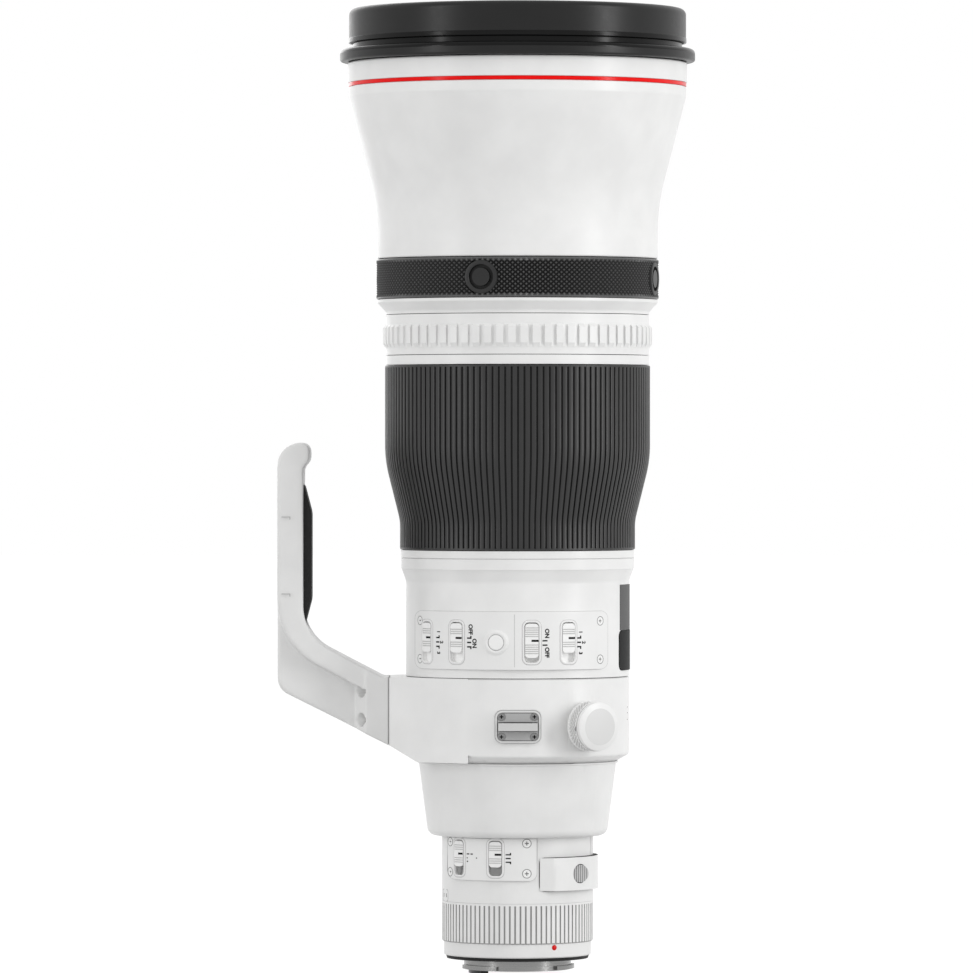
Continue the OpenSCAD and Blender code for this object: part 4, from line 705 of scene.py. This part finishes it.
class LENS_OT_barrels(LensStep):
    """Builds the painted barrels and rings with broken edges and a matt black inside"""
    bl_idname = "lens.barrels"
    bl_label = "Barrels"

    def build(self):
        def barrel_inside(c, n):
            r = c.xy.length
            facing_in = n.xy.dot(c.xy) < -0.01 * r or (abs(n.z) > 0.95 and r < 62)
            return r < 76.5 and facing_in and c.z > 334 or r < 65

        def in_slot(c, n, z0, z1, r0, r1):
            r = c.xy.length
            return c.y < 0 and z0 < c.z < z1 and r0 < r < r1 and n.xy.dot(c.xy) > -0.3 * r

        softened("front_barrel", "paint inside", 0.0004, inner=barrel_inside)
        softened("trim_rings", "paint")
        # Slot walls and floors in the barrels get painted light
        softened("mid_barrel", "paint inside slot_white", least=40,
            inner=lambda c, n: 2 if in_slot(c, n, 137, 163, 51, 52.75) else c.xy.length < 50.75)
        softened("rear_cone", "paint_low inside", inner=lambda c, n: n.xy.dot(c.xy) < -0.01 and c.z > 58)
        softened("rear_barrel", "paint_low inside slot_white",
            inner=lambda c, n: 2 if in_slot(c, n, 38, 57, 34.3, 35.7) else c.xy.length < 35.3)
        softened("tripod_collar", "paint", 0.0005)
        softened("rear_grip_ring", "paint_low groove_shade", 0.00012,
            inner=lambda c, n: 7.1 < c.z < 25.8 and 34.9 < c.xy.length < 35.74)
        softened("hood_flange", "black gloss", inner=lambda c, n: c.z > 426.8 and c.xy.length > 77 and n.z > -0.2)
        softened("front_rim", "black")
        r, z = RIM_R, RIM_Z0
        lip = [(r - 0.9, z, 0), (r + 0.19, z, 0.25), (r + 0.19, z + 2.2, 0.25), (r - 0.25, z + 2.35, 0),
            (r - 0.9, z + 2.35, 0)]
        finish("rim_lip", spun(rounded_path(lip, 3)), "gloss", "lens_body", 30)
        softened("control_ring", "paint", 0.0002, 30)


class LENS_OT_grip(LensStep):
    """Builds the focus grip's rubber with its ribs"""
    bl_idname = "lens.grip"
    bl_label = "Focus grip"

    def build(self):
        s = sizes()
        z0, z1 = (c.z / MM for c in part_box("focus_grip"))
        t0, t1 = (z0 + t for t in GRIP_TAPER)
        low_r, high_r, wall, margin = GRIP_LOW_R, GRIP_HIGH_R, GRIP_WALL, GRIP_MARGIN
        outer = rounded_path([(low_r - 0.3, z0, 0), (low_r, z0 + 0.3, 0), (low_r, z0 + margin, 0),
            (low_r, z0 + margin + 0.35, 0), (low_r, t0, 24), (high_r, t1, 60), (high_r, z1 - margin - 0.35, 0),
            (high_r, z1 - margin, 0), (high_r, z1 - 0.3, 0), (high_r - 0.3, z1, 0)])
        inner = rounded_path([(high_r - wall, z1, 0), (high_r - wall, t1, 60), (low_r - wall, t0, 24),
            (low_r - wall, z0, 0)], 3)
        pitch = 2 * math.pi / s.grip_ribs
        bm = bmesh.new()
        line = [Vector((p[0], 0, p[1])) * MM for p in outer + inner]
        wire(bm, line + [line[0]])
        spin(bm, pitch, 6)
        gap = s.rib_gap / (59 * MM)
        places = [-gap / 2 + 0.0018, gap / 2 - 0.0018, gap / 2, gap / 2 + 0.006, pitch - gap / 2 - 0.006,
            pitch - gap / 2]
        drops = [s.rib_depth, s.rib_depth, 0.00012, 0, 0, 0.00012]
        floor = bm.verts.layers.float.new("groove")
        for v in bm.verts:
            column = round(math.atan2(v.co.y, v.co.x) / (pitch / 6))
            r, z = v.co.xy.length, v.co.z / MM
            turn = places[column % 6] + pitch * (column // 6)
            outside = low_r + (high_r - low_r) * min(1, max(0, (z - t0) / (t1 - t0)))
            if z0 + margin + 0.01 < z < z1 - margin - 0.01 and r > (outside - wall / 2) * MM:
                r -= drops[column % 6]
                v[floor] = column % 6 < 2
            v.co.x, v.co.y = r * math.cos(turn), r * math.sin(turn)
        spin(bm, 2 * math.pi, s.grip_ribs, use_duplicate=True)
        bmesh.ops.remove_doubles(bm, verts=bm.verts, dist=2e-6)
        bmesh.ops.recalc_face_normals(bm, faces=bm.faces)
        # The floors of the gaps between ribs get the darker seal rubber: painted shade
        for f in bm.faces:
            f.material_index = int(all(v[floor] > 0.5 for v in f.verts))
        finish("focus_grip_ribs", bm, "grip seal", "focus_ring", 28, False, ("focus_grip",))


class LENS_OT_button_ring(LensStep):
    """Builds the knurled ring and the bezels round its buttons"""
    bl_idname = "lens.button_ring"
    bl_label = "Button ring"

    def build(self):
        s = sizes()
        rows, k0, k1 = 16, BUTTON_Z0 + 0.55, BUTTON_Z1 - 0.55
        step = (k1 - k0) / rows
        r, z0, z1, edge = BUTTON_R, BUTTON_Z0, BUTTON_Z1, 0.4
        wall = [(r, k0 + step * i) for i in range(rows + 1)]
        bm = spun([(BUTTON_INNER_R, z0), (r - edge, z0), (r, z0 + edge), *wall, (r, z1 - edge), (r - edge, z1),
            (BUTTON_INNER_R, z1)], 2 * s.ring_diamonds)
        knurled(bm, r, k0, k1, step, 2 * s.ring_diamonds, s.knurl_depth)
        frames = [wall_frame(FN_FIRST + 90 * i, FN_Z) for i in range(FN_COUNT)]
        pocket_r, pocket_depth = 0.0063, 0.0024
        for frame in frames:
            back = frame.inverted()
            for v in bm.verts:
                p = back @ v.co
                if p.z > 0.06 and p.xy.length < pocket_r and v.co.xy.length > 0.0655:
                    p.z -= pocket_depth
                    v.co = frame @ p
        finish("button_ring_knurl", bm, "knurl", "lens_body", 20, False, ("button_ring",))
        bezel = [(4.3, 63), (4.3, 66), (5.7, 66), (5.8, 67.1), (6.0, 67.3), (7.2, 67.35), (7.7, 67.15),
            (7.85, 66.8), (7.85, 65.6), (6.6, 65), (6.6, 63)]
        for i, frame in enumerate(frames):
            bm = placed(spun(bezel, 64), frame)
            back = frame.inverted()
            # The bore and floor of the groove round each button get the near-black seal rubber: painted shade
            pick_faces(bm, lambda c, n: (back @ (c * MM)).xy.length < 0.00576)
            finish(f"button_bezel_{i + 1}", bm, "bezel seal", "lens_body")


class LENS_OT_lock_knob(LensStep):
    """Builds the collar's lock knob with its knurl, neck and cap"""
    bl_idname = "lens.lock_knob"
    bl_label = "Lock knob"

    def build(self):
        s = sizes()
        lo, top = KNOB_BASE, KNOB_BASE + 10.2
        rows, k0, k1 = 6, lo + 0.9, lo + 6.6
        step = (k1 - k0) / rows
        wall = [(KNOB_R, k0 + step * i) for i in range(rows + 1)]
        stem = [(0.001, 50), (3, 50), (3, lo), (KNOB_R - 0.5, lo), (KNOB_R - 0.12, lo + 0.15), (KNOB_R, lo + 0.5)]
        cap = [(KNOB_R - 0.15, k1 + 0.3), (10.7, k1 + 0.35), (10.7, k1 + 0.75), (11.35, k1 + 0.8),
            (11.35, top - 1.25), (11.2, top - 1.0), (8.6, top - 0.04), (8.35, top), (0.001, top)]
        bm = spun(stem + wall + cap, 2 * s.knob_diamonds, False)
        knurled(bm, KNOB_R, k0, k1, step, 2 * s.knob_diamonds, s.knurl_depth)
        bmesh.ops.remove_doubles(bm, verts=bm.verts, dist=5e-6)
        bmesh.ops.recalc_face_normals(bm, faces=bm.faces)

        def part(c, n):
            r = c.xy.length
            if c.z > top - 0.03:
                return 1
            # The recessed neck between knurl and cap gets painted shade
            if lo + 1 < c.z < top - 2 and r < 10.9:
                return 2
            return 3 if k0 < c.z < k1 and r > 11 else 0

        pick_faces(bm, part)
        finish("lock_knob_turned", placed(bm, wall_frame(KNOB_AZ, KNOB_Z)), "paint knob_face seam knob_knurl",
            "lock_knob", 20, False, ("lock_knob",))
        bm = bmesh.new()
        bmesh.ops.create_cube(bm, size=1)
        bmesh.ops.scale(bm, vec=(0.4 * MM, 2.2 * MM, 0.5 * MM), verts=bm.verts)
        bmesh.ops.bevel(bm, geom=bm.edges[:], offset=0.0001, segments=1, profile=0.5, affect="EDGES", material=-1)
        placed(bm, wall_frame(KNOB_AZ, KNOB_Z) @ shift(-KNOB_R + 0.15, -0.8, k1))
        finish("knob_index_notch", bm, "seam", "lock_knob", 40)


def lug_lines(side):
    """A painted shadow round a lug's bar, a painted highlight along its bevelled rim and a line of painted shade
    inside the rim.
    """
    face = wall_frame(side, LUG_Z) @ shift(0, 0, LUG_FACE_R)
    bm = outline_ring((LUG_BAR_W + 0.3) * MM, (LUG_BAR_H + 0.3) * MM, 0.9 * MM, line_profile(0.0003))
    finish(f"lug_bar_painted_shadow_{side}", placed(bm, face), "plate", "collar", 40)
    sink = -0.0003
    for part, inset, section, key in (
            ("rim", 1.15, [(0, sink), (0.0002, 0.00012), (0.00095, 0), (0.00095, sink)], "lug_edge"),
            ("line", 1.4, [(0, sink), (0, 0.00005), (0.0003, 0.00005), (0.0003, sink)], "plate")):
        w, h = LUG_W - 2 * inset, LUG_H - 2 * inset
        bm = outline_ring(w * MM, h * MM, (LUG_ROUND - inset) * MM, section)
        finish(f"lug_{part}_{side}", placed(bm, face), key, "collar", 40)


def lug_edge(e):
    """Keeps the screw holes and the bar's root sharp."""
    mid = (e.verts[0].co + e.verts[1].co) / 2 / MM
    return abs(mid.y) > MID_R + 1 and (e.verts[0].co - e.verts[1].co).length > 0.0001


def lug_part(c, n):
    """The bar is bright, the plate's flat face grey and its bevelled rim lighter, a painted highlight."""
    if abs(c.y) > MID_R + 1.7:
        return 2
    return 1 if abs(n.y) > 0.98 and abs(c.x) < 9.9 and abs(c.z - LUG_Z) < 6.9 else 0


def crisp(p):
    """The joint face, the screw holes and the sockets stay sharp."""
    if p.x > -60.95:
        return True
    if abs(abs(p.y) - 15) < 4 and p.x > -80 and p.z < 132.6:
        return True
    return p.x < -112.5 and abs(p.y) < 6 and any(abs(p.z - z) < 6 for z in SOCKET_Z)


class LENS_OT_foot(LensStep):
    """Builds the foot with rounded edges, its soft pad and the strap lugs"""
    bl_idname = "lens.foot"
    bl_label = "Foot, pad and lugs"

    def build(self):
        cast("tripod_foot", "foot", 0.0006, sizes().foot_melt, crisp)
        half = 0.00015
        bm = outline_ring(2 * BOSS_HALF_W * MM, JOINT_H * MM, 0.0006,
            [(-0.0004, -half), (0.00003, -half), (0.00003, half), (-0.0004, half)])
        placed(bm, shift(-JOINT_X, 0, JOINT_Z) @ turned_by(90, "X") @ turned_by(90, "Y"))
        finish("foot_joint_line", bm, "groove_shade", "collar", 50)
        notches = [part for z in FOOT_NOTCH_ZS for part in (
            (-111.4, -107.2, z - 0.2, z + 0.2), (-107.6, -107.2, z - 1.2, z - 0.2))]
        bm = placed(bars(*notches), shift(0, -BOSS_HALF_W, 0) @ turned_by(90, "X"))
        finish("foot_notches", bm, "groove_shade", "collar", 60)
        softened("foot_pad", "pad", 0.0012, 25)
        softened("strap_lugs", "lug_edge lug lug_bar", 0.0007, choose=lug_edge, inner=lug_part)
        # The lug screws' cross recesses get the black ink: painted shade
        softened("lug_screws", "screw ink", 0.0001, 60, inner=lambda c, n: abs(c.y) < MID_R + 1.2)
        for side in (0, 180):
            lug_lines(side)


def slot_lip(name, az, z, w, l, surface):
    """The raised lip round a slot and a fine line of painted shade outside it."""
    s = sizes()
    lip = [(0, -0.0004), (0.00005, s.lip_height * 0.6), (s.lip_width * 0.3, s.lip_height),
        (s.lip_width * 0.7, s.lip_height * 0.9), (s.lip_width, 0), (s.lip_width, -0.0004)]
    crease = [(o + s.lip_width, h) for o, h in line_profile(0.00022)]
    for part, profile, key in (("lip", lip, "moulded"), ("crease", crease, "fine_line")):
        bm = outline_ring(w * MM, l * MM, SLOT_ROUND * MM, profile)
        wrap(bm, az, z, surface)
        finish(f"{name}_slot_{part}", bm, key, "lens_body", 50)


def set_collar():
    """Painted shadow in the gap round the set button, its raised collar, and a painted shade line on the crease
    between the panel's lobes.
    """
    top, gap_r = panel_surface(SET_AZ), 4.02
    stud_ring("set_button_gap_painted_shadow", 3.7, gap_r, SET_AZ, SLOT_Z, top + 0.3, "seam")
    bm = spun([(gap_r, top - 0.4), (gap_r, top + 0.5), (4.3, top + 0.72), (4.9, top + 0.72), (5.5, top + 0.3),
        (6.1, top - 0.05), (6.1, top - 0.4)], 64)
    placed(bm, wall_frame(SET_AZ, SLOT_Z))
    finish("set_button_collar", bm, "moulded", "lens_body", 30)
    bm = bars((-0.15, 0.15, PANEL_BOX[2] + 1.2 - SLOT_Z, PANEL_BOX[3] - 1.2 - SLOT_Z, 0.00002))
    printed("panel_crease_painted_shade", bm, CREASE_AZ, SLOT_Z, panel_surface, "fine_line", slot="white_plastic")


def panel(node, box, width):
    """Rounds a panel's outline more than its slots, whose walls get a lighter copy of the white as painted light."""
    x0, x1, z0, z1 = box
    bm = merged(node)

    def outline(e):
        mid = (e.verts[0].co + e.verts[1].co) / 2 / MM
        across, up = min(abs(mid.x - x0), abs(mid.x - x1)), min(abs(mid.z - z0), abs(mid.z - z1))
        return min(across, up) < 0.25 or max(across, up) < 3.6

    def slot_side(c, n):
        inset = 1.5
        within = x0 + inset < c.x < x1 - inset and z0 + inset < c.z < z1 - inset
        return within and abs(n.xy.dot(c.xy.normalized())) < 0.5

    soften(bm, width, 30, 3, outline)
    soften(bm, 0.0002, 60, 2, lambda e: not outline(e))
    pick_faces(bm, slot_side)
    stand_in(node, bm, "moulded slot_white")


def recess(c, n):
    """The floors of the screws' cross recesses, which get painted shade."""
    az = math.degrees(math.atan2(c.x, -c.y))
    top = panel_surface(az) if c.z > 100 else low_surface(az)
    return n.xy.dot(c.xy.normalized()) > 0.8 and c.xy.length < top - 0.25


class LENS_OT_controls(LensStep):
    """Builds the switch panels, sliders, slot lips, set button, side plate and window"""
    bl_idname = "lens.controls"
    bl_label = "Controls"

    def build(self):
        panel("upper_switch_panel", PANEL_BOX, 0.0011)
        panel("lower_switch_panel", LOW_PANEL_BOX, 0.0006)
        softened("panel_screws", "slider seam", 0.0002, 60, inner=recess)
        # A dark ring on the panel round each screw head: painted shadow of the gap
        for name, places, surface in (("upper", UPPER_SCREWS, panel_surface), ("lower", LOWER_SCREWS, low_surface)):
            for i, (az, z) in enumerate(places):
                stud_ring(f"{name}_screw_gap_{i + 1}", SCREW_R - 0.02, SCREW_R + 0.3, az, z, surface(az) + 0.03,
                    "seam")
        softened("side_plate", "plate", 0.0002)
        softened("scale_window", "window", 0.0002)
        softened("set_button", "slider", 0.0008)
        set_collar()
        for name, az in {**UPPER_SLOTS, **LOWER_SLOTS}.items():
            ribbed(f"{name}_switch", outwards(az), "slider rib_shade", 0.00012, 1, 0.2)
        # Lines round the panels' feet, where they meet the barrels: a real joint, darkened as painted shade
        for name, box, r in (("upper", PANEL_BOX, MID_R), ("lower", LOW_PANEL_BOX, REAR_R)):
            x0, x1, z0, z1 = box
            bm = outline_ring((x1 - x0) * MM, (z1 - z0) * MM, 0.0034, line_profile(0.00022))
            drape(bm, (x0 + x1) / 2, (z0 + z1) / 2, r)
            finish(f"{name}_panel_seam", bm, "fine_line", "lens_body", 40)
        for name, az in UPPER_SLOTS.items():
            slot_lip(name, az, SLOT_Z, SLOT_W, SLOT_L, panel_surface)
        for name, az in LOWER_SLOTS.items():
            slot_lip(name, az, LOW_SLOT_Z, LOW_SLOT_W, LOW_SLOT_L, low_surface)


def index_line(name, az, z, surface, slot_w):
    """The line across a slider, 0.35 mm above its panel."""
    bm = bars((-0.2, slot_w / 2 - 0.3, -0.48, 0.48))
    placed(bm, wall_frame(az, z) @ shift(0, 0, surface + 0.35))
    finish(f"{name}_index_line", bm, "ink", f"{name}_switch", 60)


def three_ticks(name, az, z, pitch, width, thick, surface):
    """Two L-shaped end ticks and a straight one between them."""
    half, leg = width / 2, pitch * 0.52
    ticks = [(-half, half - (0.2 if k == 1 else 0), -pitch * k - thick / 2, -pitch * k + thick / 2)
        for k in range(3)]
    legs = [(half - thick, half, thick / 2, leg), (half - thick, half, -2 * pitch - leg, -2 * pitch - thick / 2)]
    printed(f"{name}_ticks", bars(*ticks, *legs), az, z, surface)


class LENS_OT_markings(LensStep):
    """Prints the tick marks, the numbers, ON and OFF, and the index marks"""
    bl_idname = "lens.markings"
    bl_label = "Markings"

    def build(self):
        for name, az in (("speed", -44.2), ("preset", -24.8), ("mode", 32.1)):
            three_ticks(name, az, SLIDER_Z, TICK_PITCH, TICK_W, TICK_T, panel_surface)
        bm = bars((-1.2, 1.2, -0.33, 0.33), (-1.2, 1.2, -2.38, -1.72))
        printed("stabiliser_ticks", bm, 13.4, LONG_SLIDER_Z, panel_surface)
        for name, az, far in (("speed", -43.8, -41.7), ("mode", 32.9, 34.8)):
            for text, at, z in (("1", az, 154.1), ("2", far, 149.2), ("3", az, 144.2)):
                printed(f"{name}_number_{text}", words(text, NUMBER_H), at, z, panel_surface, "ink_grey")
        for name, text, az, z in (("preset", "OFF", -24.2, 155.4), ("preset", "ON", -22.1, 148.9),
                ("stabiliser", "ON", 14.4, 153.6), ("stabiliser", "OFF", 14.4, 144.7)):
            printed(f"{name}_word_{text.lower()}", words(text, WORD_H), az, z, panel_surface, "ink_grey")
        three_ticks("focus_mode", -6.9, LOW_SLIDER_Z, LOW_TICK_PITCH, LOW_TICK_W, LOW_TICK_T, low_surface)
        bm = bars((-1.5, 2.1, -0.28, 0.28), (-1.5, 4.5, -2.1, -1.54), (-1.4, -0.7, -3.8, -3.2))
        printed("range_ticks", bm, -38.2, LOW_SLIDER_Z, low_surface)
        for name, az in UPPER_SLOTS.items():
            z = LONG_SLIDER_Z if name == "stabiliser" else SLIDER_Z
            index_line(name, az, z, panel_surface(az), SLOT_W)
        for name, az in LOWER_SLOTS.items():
            index_line(name, az, LOW_SLIDER_Z, low_surface(az), LOW_SLOT_W)
        bm = bmesh.new()
        bmesh.ops.create_uvsphere(bm, u_segments=32, v_segments=16, radius=0.0013)
        bmesh.ops.scale(bm, vec=(1, 1, 0.5), verts=bm.verts)
        placed(bm, wall_frame(INDEX_AZ, INDEX_Z) @ shift(0, 0, INDEX_R))
        finish("mount_index_dot", bm, "dot", "lens_body", 60)
        bm = outline_ring(0.0075, 0.0052, 0.0012, line_profile(0.0003))
        place = SECURITY_AZ, SECURITY_Z, low_wall
        printed("security_slot_outline", bm, *place, "groove_shade", slot="white_plastic")
        # A dark bar in the outline: painted shade standing for the slot's opening
        printed("security_slot_opening_shade", bars((-2.3, 2.3, -0.9, 0.9)), *place, "seam")
        bm = bars(*((-0.35, 0.35, y - 0.25, y + 0.25) for y in (-2.9, 0.2, 2.9)))
        printed("collar_index_marks", bm, COLLAR_MARKS_AZ, COLLAR_MARKS_Z, lambda az: MID_R, body="collar")


def latch_way(side):
    """The direction that a latch button faces."""
    return outwards(90 + side * (LATCH_AZ + LATCH_TILT))


def flank_corner(e):
    """The four edges at the flank's corners, which run outwards."""
    a, b = e.verts[0].co / MM, e.verts[1].co / MM
    mid, along = (a + b) / 2, (a - b).normalized()
    at_edge = abs(abs(mid.z - FLANK_Z) - FLANK_H / 2) < 0.4
    return at_edge and mid.xy.length > 36.3 and abs(along.xy.dot(mid.xy.normalized())) > 0.85


def holder_part(c, n):
    """The frame inside the barrel is matt black, and the walls of the latches' pockets get the same black as painted
    shade.
    """
    if c.xy.length < 36.0:
        return True
    for side in (-1, 1):
        place = outwards(90 + side * LATCH_AZ) * FLANK_R + Vector((0, 0, FLANK_Z))
        way = latch_way(side)
        off = c - place
        if abs(n.dot(way)) < 0.3 and (off - way * off.dot(way)).length < LATCH_R + 0.5:
            return True
    return False


class LENS_OT_mount(LensStep):
    """Builds the mount end: filter holder, latches, bayonet and contact block"""
    bl_idname = "lens.mount"
    bl_label = "Mount end"

    def build(self):
        bm = merged("filter_holder")
        soften(bm, 0.0018, 30, 4, flank_corner)
        soften(bm, 0.0004, 30, 2)
        pick_faces(bm, holder_part)
        stand_in("filter_holder", bm, "paint_low inside")
        for side, name in ((-1, "left"), (1, "right")):
            ribbed(f"latch_button_{name}", latch_way(side), "latch latch_floor", 0.0001, 1.2, 0.15)
        # A thin black rubber ring round the flank's edge: painted shadow of the gap round the drawer
        r = REAR_R + 0.06
        bm = outline_ring(math.radians(FLANK_LAST_AZ - FLANK_FIRST_AZ) * r * MM, FLANK_H * MM, 0.0024,
            [(-0.0006, 0), (-0.0006, 0.00022), (0.00022, 0.00022), (0.00022, 0)])
        wrap(bm, (FLANK_FIRST_AZ + FLANK_LAST_AZ) / 2, FLANK_Z, lambda az: r)
        finish("holder_gap_painted_shadow", bm, "seal", "filter_drawer", 50)
        dress("steel", "bayonet")
        bm = merged("contact_block")
        pick_faces(bm, lambda c, n: c.z < -8.31)
        stand_in("contact_block", bm, "button brass", 35, False, "finished")


def seen_rays(tree):
    """1 for the rays that see a thing straight, in gloss or through glass, and 0 for its light on others."""
    path = tree.nodes.new("ShaderNodeLightPath")
    out = path.outputs["Is Camera Ray"]
    for name in ("Is Glossy Ray", "Is Transmission Ray"):
        either = tree.nodes.new("ShaderNodeMath")
        either.operation = "MAXIMUM"
        tree.links.new(out, either.inputs[0])
        tree.links.new(path.outputs[name], either.inputs[1])
        out = either.outputs[0]
    return out


def blend(tree, factor, first, second, output):
    """Mixes two shaders by a factor into the output's surface."""
    mix = tree.nodes.new("ShaderNodeMixShader")
    tree.links.new(factor, mix.inputs["Fac"])
    tree.links.new(first.outputs[0], mix.inputs[1])
    tree.links.new(second.outputs[0], mix.inputs[2])
    tree.links.new(mix.outputs[0], output.inputs["Surface"])


def lamp(name, place, power, size):
    """An area lamp that faces the lens's middle."""
    data = bpy.data.lights.new(name, "AREA")
    data.shape, data.size, data.size_y, data.energy = "RECTANGLE", size[0], size[1], power
    obj = linked(name, data)
    obj.location = place
    obj.rotation_euler = (Vector((0, 0, 0.25)) - Vector(place)).to_track_quat("-Z", "Y").to_euler()


def camera():
    data = bpy.data.cameras.new("camera")
    data.sensor_width, data.lens = 36, 289.7
    data.clip_start, data.clip_end = 0.1, 60
    cam = linked("camera", data)
    place, aim = Vector((-0.0147, -3.711, 0.2417)), Vector((-0.0147, 0, 0.2220))
    cam.location = place
    cam.rotation_euler = (aim - place).to_track_quat("-Z", "Y").to_euler()
    bpy.context.scene.camera = cam


class LENS_OT_stage(LensStep):
    """Lays the pale floor, sets the studio lights and places the camera"""
    bl_idname = "lens.stage"
    bl_label = "Stage"

    def build(self):
        bm = bmesh.new()
        bmesh.ops.create_grid(bm, x_segments=1, y_segments=1, size=14)
        bmesh.ops.translate(bm, verts=bm.verts, vec=(0, 0, CAD_BOX[0].z - 0.0002))
        floor = linked("floor", mesh_of("floor", bm))
        mat, shader = new_surface("pale_floor", (0.6, 0.6, 0.6), 0.9, specular=0.1)
        tree = mat.node_tree
        glow = tree.nodes.new("ShaderNodeEmission")
        glow.inputs["Strength"].default_value = 1.14
        share = tree.nodes.new("ShaderNodeMath")
        share.operation = "MULTIPLY"
        share.inputs[1].default_value = 0.85
        tree.links.new(seen_rays(tree), share.inputs[0])
        blend(tree, share.outputs[0], shader, glow, tree.nodes["Material Output"])
        floor.data.materials.append(mat)
        self.world()
        lamp("key_strip", (1.95, -1.0, 0.7), 20, (0.24, 1.8))
        lamp("left_strip", (-1.75, -1.25, 0.6), 10, (0.14, 1.8))
        lamp("back_softbox", (-0.6, 1.9, 0.9), 5, (0.8, 1.6))
        camera()

    def world(self):
        """A white studio that looks brighter than the light it gives."""
        scene = bpy.context.scene
        scene.view_settings.view_transform = "Standard"
        scene.world = scene.world or bpy.data.worlds.new("studio")
        scene.world.use_nodes = True
        tree = scene.world.node_tree
        tree.nodes.clear()
        seen, light = (tree.nodes.new("ShaderNodeBackground") for _ in range(2))
        for background, strength in ((seen, 1.0), (light, 0.86)):
            background.inputs["Color"].default_value = (1, 1, 1, 1)
            background.inputs["Strength"].default_value = strength
        blend(tree, seen_rays(tree), light, seen, tree.nodes.new("ShaderNodeOutputWorld"))


STEPS = (LENS_OT_inner_parts, LENS_OT_glass, LENS_OT_barrels, LENS_OT_grip, LENS_OT_button_ring,
    LENS_OT_lock_knob, LENS_OT_foot, LENS_OT_controls, LENS_OT_markings, LENS_OT_mount, LENS_OT_stage)


class LENS_PT_panel(bpy.types.Panel):
    bl_idname = "LENS_PT_panel"
    bl_label = "Super telephoto lens"
    bl_space_type = "VIEW_3D"
    bl_region_type = "UI"
    bl_category = "Lens"

    def draw(self, context):
        for group in (context.scene.lens_sizes, context.scene.lens_colours):
            for name in group.__annotations__:
                self.layout.prop(group, name)
        for step in STEPS:
            self.layout.operator(step.bl_idname)


CLASSES = (LensSizes, LensColours, *STEPS, LENS_PT_panel)


def register():
    for cls in CLASSES:
        bpy.utils.register_class(cls)
    bpy.types.Scene.lens_sizes = bpy.props.PointerProperty(type=LensSizes)
    bpy.types.Scene.lens_colours = bpy.props.PointerProperty(type=LensColours)


def unregister():
    del bpy.types.Scene.lens_colours
    del bpy.types.Scene.lens_sizes
    for cls in reversed(CLASSES):
        bpy.utils.unregister_class(cls)


def main():
    register()
    make_materials()
    for step in STEPS:
        group, name = step.bl_idname.split(".")
        getattr(getattr(bpy.ops, group), name)()


if __name__ == "__main__":
    main()
